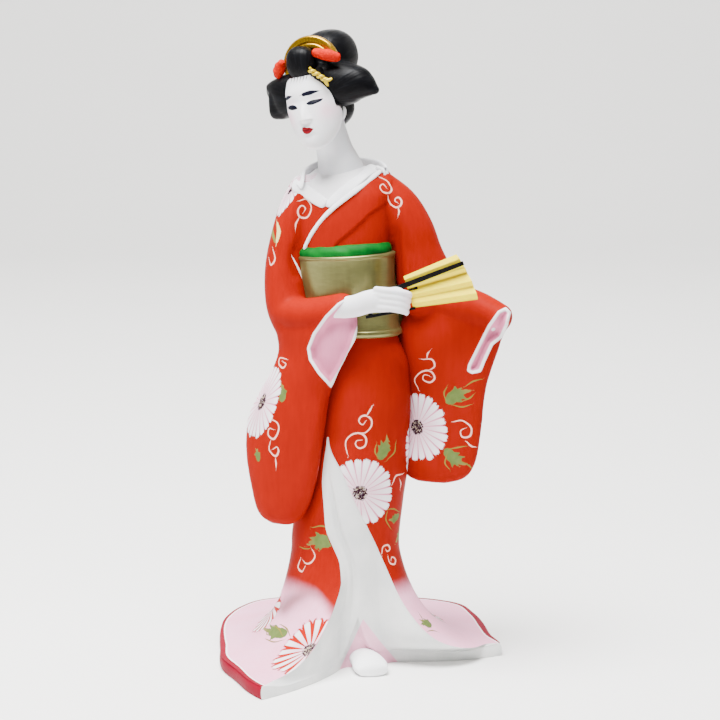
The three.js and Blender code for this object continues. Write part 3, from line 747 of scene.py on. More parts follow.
class Paint:
    """Lays out the nodes of one paint or one effect."""

    def __init__(self, tree):
        self.tree = tree

    def node(self, kind, **settings):
        made = self.tree.nodes.new(kind if kind.startswith("NodeGroup") else "ShaderNode" + kind)
        for name, value in settings.items():
            setattr(made, name, value)
        return made

    def feed(self, socket, value):
        if isinstance(value, Wire):
            self.tree.links.new(value.socket, socket)
        elif value is not None:
            now = socket.default_value
            if hasattr(now, "__len__") and len(now) == 4 and len(value) == 3:
                value = (*value, 1)
            socket.default_value = value

    def fed(self, made, *values):
        """A node's first output, once its inputs are fed in order."""
        for socket, value in zip(made.inputs, values):
            self.feed(socket, value)
        return Wire(self, made.outputs[0])

    def calc(self, operation, *values, clamp=False):
        return self.fed(self.node("Math", operation=operation, use_clamp=clamp), *values)

    def stretched(self, vector, by):
        return self.fed(self.node("VectorMath", operation="MULTIPLY"), vector, by)

    def mix(self, factor, a, b, mode="MIX"):
        made = self.node("Mix", data_type="RGBA", blend_type=mode)
        for socket, value in (("Factor", factor), (6, a), (7, b)):
            self.feed(made.inputs[socket], value)
        return Wire(self, made.outputs[2])

    def between(self, value, low, high, to_low=0.0, to_high=1.0):
        made = self.node("MapRange", interpolation_type="SMOOTHSTEP")
        return self.fed(made, value, low, high, to_low, to_high)

    def noise(self, vector, scale, detail=3, rough=0.5, stretch=None):
        if stretch:
            vector = self.stretched(vector, stretch)
        made = self.node("TexNoise")
        for name, value in (("Vector", vector), ("Scale", scale), ("Detail", detail), ("Roughness", rough)):
            self.feed(made.inputs[name], value)
        return Wire(self, made.outputs[0])

    def wander(self, scale, detail, rough=0.5):
        """Noise over the object's places, centred on nothing."""
        return self.noise(self.place(), scale, detail, rough) - 0.5

    def place(self):
        """Object places in millimetres."""
        return self.stretched(Wire(self, self.node("TexCoord").outputs["Object"]), (1000, 1000, 1000))

    def value(self, name):
        """The single value stored on the mesh under a name."""
        return Wire(self, self.node("Attribute", attribute_name=name).outputs["Fac"])

    def vector(self, name):
        """The vector stored on the mesh under a name."""
        return Wire(self, self.node("Attribute", attribute_name=name).outputs["Vector"])

    def parts(self, vector):
        made = self.node("SeparateXYZ")
        self.feed(made.inputs[0], vector)
        return [Wire(self, socket) for socket in made.outputs]

    def shape(self, name, low, high):
        """How far a filled shape covers the ground, and the depth inside it."""
        depth, _, tint = self.parts(self.vector(name))
        return (tint > 0.5) * self.between(depth, low, high), depth

    def use(self, group, **inputs):
        made = self.node("Group", node_tree=group)
        for name, value in inputs.items():
            self.feed(made.inputs[name], value)
        return {socket.name: Wire(self, socket) for socket in made.outputs}

    def strokes(self, name, dry=1.0):
        return self.use(stroke_effect(), Stored=self.vector(name), Dry=dry)

    def finish(self, colour, roughness, height, depth, **plain):
        """Feeds the paint's shader, with the bump's depth in metres. Matt paint gives hardly any shine."""
        shader = self.node("BsdfPrincipled")
        bump = self.node("Bump")
        for name, value in (("Strength", 1), ("Distance", depth), ("Height", height)):
            self.feed(bump.inputs[name], value)
        plain = {"Specular_IOR_Level": 0.05, **plain}
        fed = {"Base_Color": colour, "Roughness": roughness, "Normal": Wire(self, bump.outputs[0]), **plain}
        for name, value in fed.items():
            self.feed(shader.inputs[name.replace("_", " ")], value)
        self.feed(self.node("OutputMaterial").inputs[0], Wire(self, shader.outputs[0]))

    def over_clay(self, colour, mottle, roughness, depth, **plain):
        """Finishes a paint that takes its unevenness from the clay under it."""
        surface = self.use(clay_surface(), Colour=colour, Mottle=mottle, Roughness=roughness)
        self.finish(surface["Colour"], surface["Roughness"], surface["Height"], depth, **plain)


def effect(name, inputs, outputs, lay):
    """A shader group made once, with named sockets."""
    if name in bpy.data.node_groups:
        return bpy.data.node_groups[name]
    group = bpy.data.node_groups.new(name, "ShaderNodeTree")
    for label, (kind, value) in inputs.items():
        socket = group.interface.new_socket(name=label, in_out="INPUT", socket_type="NodeSocket" + kind)
        if value is not None:
            socket.default_value = (*value, 1) if kind == "Color" else value
    for label, kind in outputs.items():
        group.interface.new_socket(name=label, in_out="OUTPUT", socket_type="NodeSocket" + kind)
    paint = Paint(group)
    given = {socket.name: Wire(paint, socket) for socket in paint.node("NodeGroupInput").outputs}
    result = paint.node("NodeGroupOutput").inputs
    for label, value in lay(paint, given).items():
        paint.feed(result[label], value)
    return group


def clay_surface():
    """Painted clay: faint mottling of the paint, brush drag, pores and small dents."""
    def lay(paint, given):
        place = paint.place()
        broad = paint.noise(place, 0.035, 3)
        fine = paint.noise(place, 0.6, 4, 0.6)
        drag = paint.noise(place, 0.5, 3, 0.55, stretch=(1, 1, 0.16))
        pores = paint.noise(place, 2.4, 2, 0.5)
        tone = (broad * 0.6 + drag * 0.4 - 0.5) * given["Mottle"]
        grey = paint.mix(paint.calc("ADD", tone, 0.5, clamp=True), (0, 0, 0), (1, 1, 1))
        return {
            "Colour": paint.mix(1.0, given["Colour"], grey, "OVERLAY"),
            "Roughness": given["Roughness"] + (fine - 0.5) * 0.22,
            "Height": drag * 0.5 + pores * 0.25 + broad * 1.5,
        }
    inputs = {"Colour": ("Color", (0.5, 0.5, 0.5)), "Mottle": ("Float", 0.3), "Roughness": ("Float", 0.5)}
    return effect("Clay surface", inputs, {"Colour": "Color", "Roughness": "Float", "Height": "Float"}, lay)


def blossom_effect():
    """Open blossoms painted from one brush load a petal, read from stored places on the surface."""
    def lay(paint, given):
        x, y, kind = paint.parts(paint.vector("blossom"))
        reach = paint.calc("SQRT", x * x + y * y)
        angle = (paint.calc("ARCTAN2", y, x) + math.pi) / (2 * math.pi)
        hem = kind > 1.5
        turn = angle * (PETALS - hem * (PETALS - HEM_PETALS))
        across = paint.calc("ABSOLUTE", paint.calc("FRACT", turn) - 0.5)
        chance = paint.node("TexWhiteNoise", noise_dimensions="1D")
        paint.feed(chance.inputs["W"], paint.calc("FLOOR", turn) + kind * 31)
        luck = Wire(paint, chance.outputs["Value"])
        bend = paint.calc("POWER", across * 2, 5)
        tip = 1.0 - luck * 0.1 - bend * 0.12 + paint.wander(1.5, 3, 0.7) * 0.2
        whole = paint.between(tip - reach, -0.012, 0.012) * (kind > 0.5)
        gap = (0.06 + reach * 0.07) * (1 - hem) + (0.12 + reach * 0.14) * hem
        edge = 0.5 - gap
        soft = 0.05 - hem * 0.03
        crack = paint.between(across, edge - soft, edge + soft)
        streak = paint.noise(paint.vector("blossom"), 26, 2)
        shade = paint.between(reach, 1.0, 0.12) * 0.75 * (0.25 + streak * 0.7)
        body = paint.mix(shade, (0.86, 0.83, 0.86), given["Gap"])
        body = paint.mix(luck * 0.35 * paint.between(reach, 0.9, 0.3), body, given["Gap"])
        gap_colour = paint.mix(hem, given["Gap"], given["Bright gap"])
        petals = paint.mix(crack * paint.between(reach, 0.1, 0.3), body, gap_colour)
        dots = paint.noise(paint.place(), 0.95, 2, 0.6)
        dots_fine = paint.noise(paint.place(), 1.6, 2, 0.6)
        eye = paint.mix(paint.between(dots, 0.53, 0.58), (0.025, 0.008, 0.016), (0.42, 0.32, 0.24))
        eye = paint.mix(paint.between(dots_fine, 0.62, 0.66), eye, (0.6, 0.5, 0.52))
        ring = reach + (dots - 0.5) * 0.16
        petals = paint.mix(paint.between(ring, 0.23, 0.19), petals, eye)
        halo = paint.between(tip + 0.05 - reach, -0.012, 0.012) * (hem * paint.between(across, 0.1, 0.22))
        petals = paint.mix((1 - whole) * hem, petals, given["Bright gap"])
        return {"Colour": petals, "Mask": paint.calc("MAXIMUM", whole, halo), "Height": whole * (1 - crack)}
    inputs = {"Gap": ("Color", srgb(214, 134, 162)), "Bright gap": ("Color", srgb(160, 22, 8))}
    return effect("Blossom", inputs, {"Colour": "Color", "Mask": "Float", "Height": "Float"}, lay)


def stroke_effect():
    """One layer of brush strokes: stored across, along and tint."""
    def lay(paint, given):
        across, _, tint = paint.parts(given["Stored"])
        across = paint.calc("ABSOLUTE", across) + paint.wander(1.3, 2) * (given["Dry"] * 0.5)
        mask = paint.between(across, 1.12, 0.82) * (tint > 0.5)
        grain = paint.noise(paint.place(), 1.9, 3, 0.7)
        dry = paint.between(grain, 0.3, 0.5, 1 - given["Dry"] * 0.28, 1.0)
        ramp = paint.node("ValToRGB")
        ramp.color_ramp.interpolation = "CONSTANT"
        stops, count = ramp.color_ramp.elements, len(STROKE_COLOURS)
        stops[1].position = 1 / count
        for k in range(2, count):
            stops.new(k / count)
        for stop, colour in zip(stops, STROKE_COLOURS):
            stop.color = (*srgb(*colour), 1)
        return {"Colour": paint.fed(ramp, (tint - 0.5) / count), "Mask": mask * dry}
    inputs = {"Stored": ("Vector", None), "Dry": ("Float", 1.0)}
    return effect("Brush stroke", inputs, {"Colour": "Color", "Mask": "Float"}, lay)


def once(name, lay):
    """A material that is made once, its nodes laid by a function."""
    material = bpy.data.materials.get(name)
    if material is None:
        material = bpy.data.materials.new(name)
        material.use_nodes = True
        material.node_tree.nodes.clear()
        lay(Paint(material.node_tree))
    return material


def brush_layers(paint, colour, height):
    """Leaves, then both layers of strokes, then blossoms, laid over a ground."""
    depth, share, tint = paint.parts(paint.vector("leaf"))
    edge = depth + paint.wander(0.9, 3) * 0.7
    green = paint.mix(paint.noise(paint.place(), 0.35, 3), srgb(74, 92, 44), srgb(106, 122, 66))
    green = paint.mix(paint.between(share, 0.1, 0.55), green, srgb(132, 116, 60))
    colour = paint.mix(paint.between(edge, -0.12, 0.12) * (tint > 0.5), colour, green)
    for name in ("brush_a", "brush_b"):
        stroke = paint.strokes(name)
        colour = paint.mix(stroke["Mask"], colour, stroke["Colour"])
        height = height + stroke["Mask"] * 0.7
    bloom = paint.use(blossom_effect())
    colour = paint.mix(bloom["Mask"], colour, bloom["Colour"])
    return colour, height + bloom["Height"] * 0.9


def robe_paint():
    """Vermilion ground with its painted sprays, shading to pink over the hem, with painted shade of a fold on
    the pink, and a crimson roll.
    """
    def lay(paint):
        place = paint.place()
        tints = paints()
        red = paint.mix(paint.noise(place, 0.02, 3) * 0.5, tints.robe_red[:], srgb(146, 24, 7))
        uneven = (paint.noise(place, 0.09, 4) - 0.5) * 3.5
        pink = paint.between(paint.value("blush") + uneven, 5, -6)
        colour = paint.mix(pink, red, tints.hem_pink[:])
        # Painted shade of a fold: greyish mauve laid over the pink of the train
        colour = paint.mix(paint.value("painted_fold_shade") * pink * 0.8, colour, srgb(118, 80, 82))
        ragged = paint.value("roll") + (paint.noise(place, 0.6, 2) - 0.5) * 0.5
        colour = paint.mix(paint.between(ragged, -1.0, -0.5), colour, srgb(252, 244, 246))
        colour = paint.mix(paint.between(ragged, -0.15, 0.15), colour, tints.rim_crimson[:])
        colour = paint.mix(paint.between(paint.value("bare"), 0.05, 0.25), colour, tints.skin_white[:])
        cuff, depth = paint.shape("cuff", -0.15, 0.1)
        inner = paint.mix(paint.noise(place, 0.08, 3), srgb(230, 144, 174), srgb(198, 106, 140))
        inner = paint.mix(paint.between(depth, 1.1, 1.9), srgb(240, 238, 240), inner)
        colour = paint.mix(cuff, colour, inner)
        surface = paint.use(clay_surface(), Colour=colour, Mottle=0.32, Roughness=0.46)
        colour, height = brush_layers(paint, surface["Colour"], surface["Height"])
        paint.finish(colour, surface["Roughness"], height, 0.00012, Specular_IOR_Level=0.02)
    return once("robe_paint", lay)


def plain_clay(name, colour, mottle=0.2, roughness=0.5, depth=0.0001, tone=None):
    """One flat paint over clay, or two that run into each other."""
    def lay(paint):
        ground = colour
        if tone is not None:
            cloud = paint.between(paint.noise(paint.place(), 0.05, 3), 0.35, 0.7)
            ground = paint.mix(cloud, colour, tone)
        paint.over_clay(ground, mottle, roughness, depth)
    return once(name, lay)


def lining_paint():
    """White lining, painted greyer than the collars as painted shade, and the pink under-robe that shows low
    in its opening.
    """
    def lay(paint):
        place = paint.place()
        cloud = paint.between(paint.noise(place, 0.05, 3), 0.3, 0.7)
        # The lining's greyer white is painted shade
        white = paint.mix(cloud, paints().shaded_lining_white[:], srgb(210, 212, 211))
        pink = paint.mix(paint.noise(place, 0.1, 3), srgb(248, 190, 210), srgb(240, 172, 198))
        colour = paint.mix(paint.shape("under_robe", -0.2, 0.3)[0], white, pink)
        paint.over_clay(colour, 0.14, 0.5, 0.0001)
    return once("lining_paint", lay)


def gold_paint(name="gold_paint", colour=None, metallic=0.7, roughness=0.34):
    """Bronze-gold paint, brushed on in level strokes."""
    def lay(paint):
        place = paint.place()
        base = colour or paints().gold[:]
        dark, light, bright = (tuple(min(c * k, 1) for c in base) for k in (0.9, 1.08, 1.15))
        drag = paint.noise(place, 0.22, 3, 0.5, stretch=(1, 1, 3.2))
        tint = paint.mix(paint.between(drag, 0.25, 0.75), dark, light)
        tint = paint.mix(paint.between(paint.noise(place, 0.06, 3), 0.4, 0.7), tint, bright)
        surface = paint.use(clay_surface(), Colour=tint, Mottle=0.3, Roughness=roughness)
        paint.finish(surface["Colour"], surface["Roughness"], surface["Height"] * 0.35 + drag * 0.35, 0.00008,
                     Metallic=metallic, Specular_IOR_Level=0.5)
    return once(name, lay)


def skin_paint():
    """White shell paint of face, neck and hands, with rouge, hairline, brows, eyes and lips where stored."""
    def lay(paint):
        place = paint.place()
        tints = paints()
        cloud = paint.between(paint.noise(place, 0.06, 3), 0.35, 0.7)
        colour = paint.mix(cloud, tints.skin_white[:], srgb(226, 226, 230))
        colour = paint.mix(paint.value("rouge"), colour, srgb(240, 178, 200))
        colour = paint.mix(paint.shape("lips", -0.12, 0.08)[0], colour, srgb(124, 4, 20))
        colour = paint.mix(paint.shape("eyes", -0.08, 0.06)[0], colour, srgb(9, 11, 24))
        for name in ("brush_a", "brush_b"):
            stroke = paint.strokes(name, 0.0)
            colour = paint.mix(stroke["Mask"], colour, stroke["Colour"])
        bristle = paint.noise(place, 2.2, 3, 0.7, stretch=(1, 1, 0.15))
        hair = paint.value("hairline") + (bristle - 0.5) * 2.6 - 1.4
        colour = paint.mix(paint.between(hair, -0.25, 0.35), colour, tints.hair_black[:])
        paint.over_clay(colour, 0.1, 0.42, 0.00004, Specular_IOR_Level=0.08, Subsurface_Weight=0.05)
    return once("skin_paint", lay)


def hair_paint():
    """Black lacquered hair, combed in fine ridges; lighter strand lines and broad cool streaks along them are
    painted sheen.
    """
    def lay(paint):
        flow = paint.vector("strand")
        fine = paint.noise(flow, 1.9, 3, 0.6, stretch=(1, 0.05, 0.05))
        broad = paint.noise(flow, 0.45, 2, 0.5, stretch=(1, 0.06, 0.06))
        # Lighter strands and cool streaks: painted sheen on the black
        colour = paint.mix(paint.between(fine, 0.5, 0.8), paints().hair_black[:], srgb(20, 21, 24))
        colour = paint.mix(paint.between(broad, 0.5, 0.75) * 0.4, colour, srgb(26, 28, 32))
        rough = paint.between(broad, 0.3, 0.7, 0.46, 0.32)
        paint.finish(colour, rough, fine * 0.6 + broad * 1.1, 0.0003, Specular_IOR_Level=0.07)
    return once("hair_paint", lay)


def kanoko_paint():
    """Red tie-dyed cloth of the hair cushions, with its raised dots."""
    def lay(paint):
        cells = paint.node("TexVoronoi")
        paint.feed(cells.inputs["Vector"], paint.place())
        paint.feed(cells.inputs["Scale"], 0.95)
        dots = paint.between(Wire(paint, cells.outputs["Distance"]), 0.1, 0.5)
        paint.finish(paint.mix(dots, srgb(208, 34, 0), srgb(172, 18, 0)), 0.62, 1 - dots, 0.00012)
    return once("kanoko_paint", lay)


def fan_paper():
    """Pale gold leaf paper with faint fibres, darker in its valleys as painted shade."""
    def lay(paint):
        gold = paints().fan_gold[:]
        fibre = paint.noise(paint.place(), 0.9, 4, 0.65, stretch=(0.4, 1, 2.2))
        colour = paint.mix(paint.between(fibre, 0.35, 0.75), gold, tuple(min(c * 1.18, 1) for c in gold))
        # Painted shade darkens the paper in the pleats' valleys
        colour = paint.mix(paint.value("painted_valley_shade") * 0.75, colour, srgb(160, 118, 8))
        paint.finish(colour, paint.between(fibre, 0.2, 0.8, 0.38, 0.52), fibre, 0.00012)
    return once("fan_paper", lay)


def lacquer():
    """Black lacquered sticks with slight wear."""
    def lay(paint):
        grain = paint.noise(paint.place(), 1.2, 4, 0.6, stretch=(0.3, 1, 1))
        colour = paint.mix(paint.between(grain, 0.6, 0.8), srgb(8, 8, 9), srgb(30, 28, 27))
        rough = paint.between(grain, 0.3, 0.7, 0.35, 0.5)
        paint.finish(colour, rough, grain, 0.00005, Specular_IOR_Level=0.12)
    return once("lacquer", lay)


# Skirt
def side_angle(share, left, right):
    """Angle on the closed side, whose first stretch ends at the same angle at every height."""
    behind = SIDE_END + (360 + left - SIDE_END) * (share - SIDE_SHARE) / (1 - SIDE_SHARE)
    return np.where(share < SIDE_SHARE, right + (SIDE_END - right) * share / SIDE_SHARE, behind)


def foot_of(share):
    """Ground angle of the closed side, from the right edge round to the left edge."""
    return side_angle(share, OPEN_LEFT, OPEN_RIGHT)


def skirt_ring(open_shares, closed_shares, z):
    """Places round the skirt at one height, over the open front and then the closed side."""
    cu, cv, a, b, yaw = sample(SKIRT, [z])[0]
    left, right = sample(LINING, [z])[0]
    rise = min(max(z - TOP_OF_HEM, 0) / (SWEEP_TOP - TOP_OF_HEM), 1)
    spread = (1 - rise ** SWEEP_BEND) ** SWEEP_POWER
    rounding = 0 if z > TOP_OF_HEM else -HEM_ROUNDING * abs((z / TOP_OF_HEM - 0.45) / 0.55) ** 3

    def oval(angle):
        w = np.radians(angle - yaw)
        return 1 / np.hypot(np.sin(w) / a, np.cos(w) / b)

    def point(angle, r):
        w = np.radians(angle)
        return np.stack([cu + r * np.sin(w), cv - r * np.cos(w), np.full(len(r), float(z))], -1)

    angle = left + (right - left) * open_shares
    foot = sample(OPEN_FRONT, open_shares)[:, 0]
    r = oval(angle)
    r = r + (foot - r) * spread + rounding * smooth((foot - 24) / 30)
    r -= 2.2 * np.exp(-((open_shares - 0.3) / 0.07) ** 2) * smooth((z - 22) / 10) * smooth((104 - z) / 24)
    half = 0.34 * (1 - z / UNDER_ROBE_HEIGHT)
    if half > 0:
        r -= sizes().lining_recess * 1000 * smooth((half - np.abs(open_shares - 0.42)) / 0.05)
    front = point(angle, r)
    low = z / TOP_OF_HEM if z <= TOP_OF_HEM else smooth((spread - 0.7) / 0.3)
    ends = smooth(open_shares / 0.03) * smooth((1 - open_shares) / 0.09)
    front[:, 2] -= LINING_DIP * low * ends * smooth((foot - 22) / 14)

    angle = side_angle(closed_shares, left, right)
    foot = sample(HEM_OUTLINE, foot_of(closed_shares), loose=True)[:, 0]
    r = oval(angle)
    r = r + (foot - r) * spread + rounding
    fade = smooth((z - 8) / 14) * smooth((112 - z) / 40)
    fold = sum(np.exp(-((angle - at - (z - low) * turn) / wide) ** 2) for at, turn, low, wide in HEM_FOLDS)
    lip = 0.9 * smooth((z - 8) / 10) * smooth((LINING_PEAK - z) / 10)
    r = r - sizes().hem_fold * 1000 * fade * fold + lip
    return np.vstack([front, point(angle, r)])


def build_skirt():
    share = np.linspace(0, 1, 97)[:-1]
    open_shares = np.concatenate([[0, 0.004, 0.009], share[2:-2], [0.986, 0.995]])
    closed = np.concatenate([[0, 0.001, 0.003], np.linspace(0, 1, 231)[1:-1], [0.9975, 0.9992]])
    spreads = np.linspace(1, 0, 74)[1:-3]
    train = TOP_OF_HEM + (SWEEP_TOP - TOP_OF_HEM) * (1 - spreads ** (1 / SWEEP_POWER)) ** (1 / SWEEP_BEND)
    wall = [0, 0.25, 0.8, 1.6, 2.6, 3.6, 4.6, 5.4, 6.0, 6.35]
    heights = np.concatenate([wall, train, np.arange(train[-1] + 1.1, SKIRT_TOP, 1.25)])
    rings = np.array([skirt_ring(open_shares, closed, z) for z in heights])
    skirt = ring_body("robe_skirt", rings, SKIRT_AXIS_LOW, SKIRT_AXIS_HIGH)
    mesh = skirt.data
    points = to_layout(read(mesh))
    u, v, z = points.T
    across, away = u - SKIRT_AXIS_LOW[0], v - SKIRT_AXIS_LOW[1]
    angle = np.degrees(np.arctan2(across, -away))
    angle = np.where(angle < OPEN_LEFT, angle + 360, angle)
    # Distance to the outline on the ground tells the crimson roll from the pink
    outline = sample(HEM_OUTLINE, np.clip(angle, OPEN_RIGHT, OPEN_LEFT + 360), loose=True)[:, 0]
    out = np.hypot(across, away)
    wide = np.interp(angle, *np.transpose(RIM_WIDTHS))
    roll = np.where(z < TOP_OF_HEM, TOP_OF_HEM + 1 - z, wide - (outline - out))
    point_values(mesh, "roll", np.where(z < TOP_OF_HEM + 4, roll, FAR_FROM_EDGE))
    edge = BLUSH_HEIGHT - 9 * np.exp(-((u + 11) / 7) ** 2) * (v < 0)
    point_values(mesh, "blush", z - edge)
    # Painted shade of a fold, strongest near a path of picture places low on the train
    seen = FRONT.seen(read(mesh))
    near = np.min(np.linalg.norm(seen[:, None] - along(FOLD_SHADE_PATH, np.linspace(0, 1, 30))[None], axis=2), 1)
    point_values(mesh, "painted_fold_shade", np.exp(-(near / 8) ** 2) * (v < 5))
    # The lining, the robe and the bare underside
    centre = to_layout(gather(mesh.polygons, "center"))
    normal = gather(mesh.polygons, "normal")
    left, right = sample(LINING, centre[:, 2]).T
    axis = sample(SKIRT, centre[:, 2])
    where = np.degrees(np.arctan2(centre[:, 0] - axis[:, 0], -(centre[:, 1] - axis[:, 1])))
    front = (where > left + 0.05) & (where < right - 0.05) & (centre[:, 2] < LINING_PEAK)
    under = (centre[:, 2] < 0.05) & (normal[:, 2] < -0.5)
    index = np.where(under, 2, np.where(front, 1, 0)).astype(np.int32)
    canvas = Canvas(skirt)
    paint_skirt(canvas)
    canvas.keep()
    bare_clay = plain_clay("bare_clay", srgb(214, 196, 172), 0.4, 0.75, 0.0003)
    dress(skirt, [robe_paint(), lining_paint(), bare_clay], angle=50)
    mesh.polygons.foreach_set("material_index", index)


# Width of the crimson roll seen from above, by angle
RIM_WIDTHS = [
    (OPEN_RIGHT, 1.6), (104, 3), (SIDE_END, 5), (160, 4), (200, 3), (240, 2.5), (270, 3), (300, 3.5),
    (OPEN_LEFT + 360, 3),
]

# Picture places of the painted fold shade over the train, the under-robe and the painted sprays
FOLD_SHADE_PATH = [(322, 588), (308, 591), (296, 598), (284, 608)]
UNDER_ROBE_VEE = [(363, 619), (352, 643), (340, 668), (338, 700), (402, 700), (398, 662), (380, 641)]
# Leaves: picture place, length in mm, direction of the tip in degrees, side of its flames
SKIRT_LEAVES = [(385, 449.5, 12.5, 55, 1), (395, 519, 9, 200, -1), (320, 540.5, 15.5, 180, 1)]
TRAIN_LEAVES = [(275, 633, 13, 180, -1), (426.5, 622.5, 7, 135, 1)]
SKIRT_TENDRILS = [
    [(347.5, 454), (345.6, 446), (346.7, 439.5), (352.8, 434.2), (360.7, 433.4), (366, 438.2),
     (365.2, 445.6), (359.4, 448.3), (355.4, 444.8), (356.7, 440.8), (360.7, 440.3)],
    [(361, 433.2), (366, 432.3), (371.3, 426.2), (371.3, 419.6), (366, 415.6), (360.7, 417),
     (358.9, 421.7), (362.6, 424.9), (365.2, 421.7)],
    [(366.8, 415.4), (370, 410.3), (371.9, 406.3)], [(393, 483), (396, 476), (403, 474)],
    [(400, 480), (401, 484), (400.5, 488)],
    [(382, 553), (383, 547), (388, 545), (390, 549), (387, 551.5), (385.5, 549)],
    [(388, 557), (390, 563), (394.5, 564), (395.5, 559), (392, 557), (391, 560.5)],
    [(312, 549), (315, 556), (311, 562.5), (306, 563.5), (303, 560)],
    [(300, 560), (298, 567.5), (302, 571.6), (305, 566.5)],
]
SKIRT_GOLD = [
    [(376, 445), (375, 452), (379, 459)], [(395.5, 443), (394.5, 452), (387, 460)],
    [(313, 527.5), (322, 526), (331, 529.5)], [(309, 549), (304, 548.5), (300, 546.5)],
    [(387, 512), (386, 520), (391, 529)], [(389, 509), (394, 509), (399, 512)],
    [(273, 625.5), (279, 629), (282.5, 636)], [(281, 624.5), (287, 629), (290, 636)],
    [(266, 639), (274, 642), (283, 640)], [(419, 613.5), (421.5, 617), (423, 621)],
    [(428, 631), (433, 630.5), (438, 632)],
]
# Blossoms: picture place, radius in mm, kind, then turn, squeeze and cut where they differ
SKIRT_BLOSSOMS = [(360, 493, 17.8, 1), (310, 650, 20, 2, 4)]
# Hidden blossoms and where they are looked at from, and leaves, with direction, side looked from and flames
BLOSSOMS_BEHIND = [
    (372, 470, 17.5, 1, BACK), (405, 628, 19, 2, BACK), (300, 640, 17, 2, BACK),
    (372, 455, 16, 1, LEFT_SIDE), (330, 520, 16, 1, RIGHT_SIDE), (328, 634, 17, 2, RIGHT_SIDE),
]
LEAVES_BEHIND = [
    (345, 520, 200, BACK, 1), (398, 430, 60, BACK, -1), (352, 628, 170, BACK, 1),
    (360, 540, 190, LEFT_SIDE, 1), (388, 634, 170, LEFT_SIDE, 1), (345, 470, 60, RIGHT_SIDE, 1),
]
# Tendrils shown again behind: which one, and how far it is moved over the picture
TENDRILS_BEHIND = [(0, -20, 18), (1, -20, 18), (0, 25, 120), (1, 25, 120), (0, -15, 148), (1, -15, 148)]


def paint_sprays(canvas, blossoms, leaves, tendrils, gold):
    """The sprays that the photographed side shows."""
    for x, y, radius, kind, *shape in blossoms:
        canvas.blossom(x, y, radius, kind, FRONT, *shape)
    for x, y, length, turn, flip in leaves:
        canvas.leaf(x, y, length, turn, flip=flip)
    for path in tendrils:
        canvas.stroke("brush_a", path, 1.0)
    for path in gold:
        canvas.stroke("brush_b", path, 0.9, GOLD_LINE)


def paint_behind(canvas, blossoms, leaves, tendrils, moves):
    """Plainer sprays of the same kind behind and at the sides."""
    for blossom in blossoms:
        canvas.blossom(*blossom)
    for x, y, turn, eye, flip in leaves:
        canvas.leaf(x, y, HIDDEN_LEAF, turn, eye, flip)
    for number, dx, dy in moves:
        path = [(x + dx, y + dy) for x, y in tendrils[number]]
        canvas.stroke("brush_a", path, 1.0, SPRAY, BACK)


def paint_skirt(canvas):
    """The sprays on the skirt and train, and the under-robe."""
    canvas.fill("under_robe", UNDER_ROBE_VEE)
    paint_sprays(canvas, SKIRT_BLOSSOMS, SKIRT_LEAVES, SKIRT_TENDRILS, SKIRT_GOLD)
    for x, y, length, turn, flip in TRAIN_LEAVES:
        canvas.leaf(x, y, length, turn, flip=flip, steep=False)
    paint_behind(canvas, BLOSSOMS_BEHIND, LEAVES_BEHIND, SKIRT_TENDRILS, TENDRILS_BEHIND)


# Upper robe
RIGHT_CUFF = [
    (352, 295), (338, 303), (325, 316), (313, 333), (307, 348), (309, 360), (318, 374), (331, 388),
    (340, 373), (352, 350), (359, 330), (363, 318), (380, 318), (380, 296),
]
LEFT_CUFF = [
    (506, 307), (498, 311), (488, 325), (478, 345), (468, 365), (467, 371), (472, 374), (481, 372),
    (486, 360), (493, 345), (502, 338), (508, 325), (511, 312),
]


def carve(points, outline, depth, near_u, near_v):
    """Sinks what lies inside an outline seen from the front."""
    seen = FRONT.seen(points)
    place = to_layout(points)
    deep = inside_by(seen, outline) * PIXEL
    front = (place[:, 1] < near_v) & (np.abs(place[:, 0] - near_u) < 30)
    lip = 0.5 * np.exp(-((deep - 0.4) / 0.8) ** 2)
    sink = depth * smooth((deep - 0.9) / 3.2)
    move = np.where(front & (deep > -1.5), sink - lip, 0)
    return points + FRONT.forward[None] * (move / 1000)[:, None]


LAPEL_OVER = [
    (384, 160), (331, 206), (303, 252), (330, 256), (337, 243), (352, 231), (370, 214), (387, 203),
    (392, 180),
]
LAPEL_UNDER = [(296, 190), (325, 208), (305, 252), (292, 246), (288, 215)]
# The neck's bare skin in the robe's opening
BARE_VEE = [(293, 183), (328, 208), (384, 165), (364, 146), (312, 150), (287, 174)]
# Creases: picture places, depth and width in mm
CREASES = [
    ([(396, 222), (398, 250), (401, 290), (404, 330)], 0.9, 1.6),
    ([(300, 236), (293, 262), (300, 282)], 0.8, 2.2), ([(283, 268), (296, 296), (318, 298)], 0.4, 3.2),
    ([(331, 388), (322, 430), (313, 480)], 0.8, 2.2),
    ([(388, 190), (394, 210), (404, 240), (414, 262)], 0.5, 3),
]


def raised(points, outline, height, soft):
    """Lifts what lies inside an outline seen from the front, with a crisp edge."""
    place = to_layout(points)
    deep = inside_by(FRONT.seen(points), outline) * PIXEL
    lift = height * smooth((deep + soft / 2) / soft) * (place[:, 1] < 2) * (place[:, 2] > 205)
    return points - FRONT.forward[None] * (lift / 1000)[:, None]


def creased(points, normals, path, depth, width):
    """Presses a soft fold along picture places into what faces the front."""
    seen = FRONT.seen(points)
    path = along(np.array(path, float), np.linspace(0, 1, 60))
    box = ((seen > path.min(0) - 4 * width) & (seen < path.max(0) + 4 * width)).all(1)
    box &= -(normals @ FRONT.forward) > 0.1
    near = np.linalg.norm(seen[box][:, None] - path[None], axis=2)
    k = near.argmin(1)
    ends = np.minimum(k, len(path) - 1 - k) / len(path)
    push = depth * np.exp(-(near.min(1) * PIXEL / width) ** 2) * smooth(ends / 0.25 + 0.15)
    points = points.copy()
    points[box] -= normals[box] * (push / 1000)[:, None]
    return points


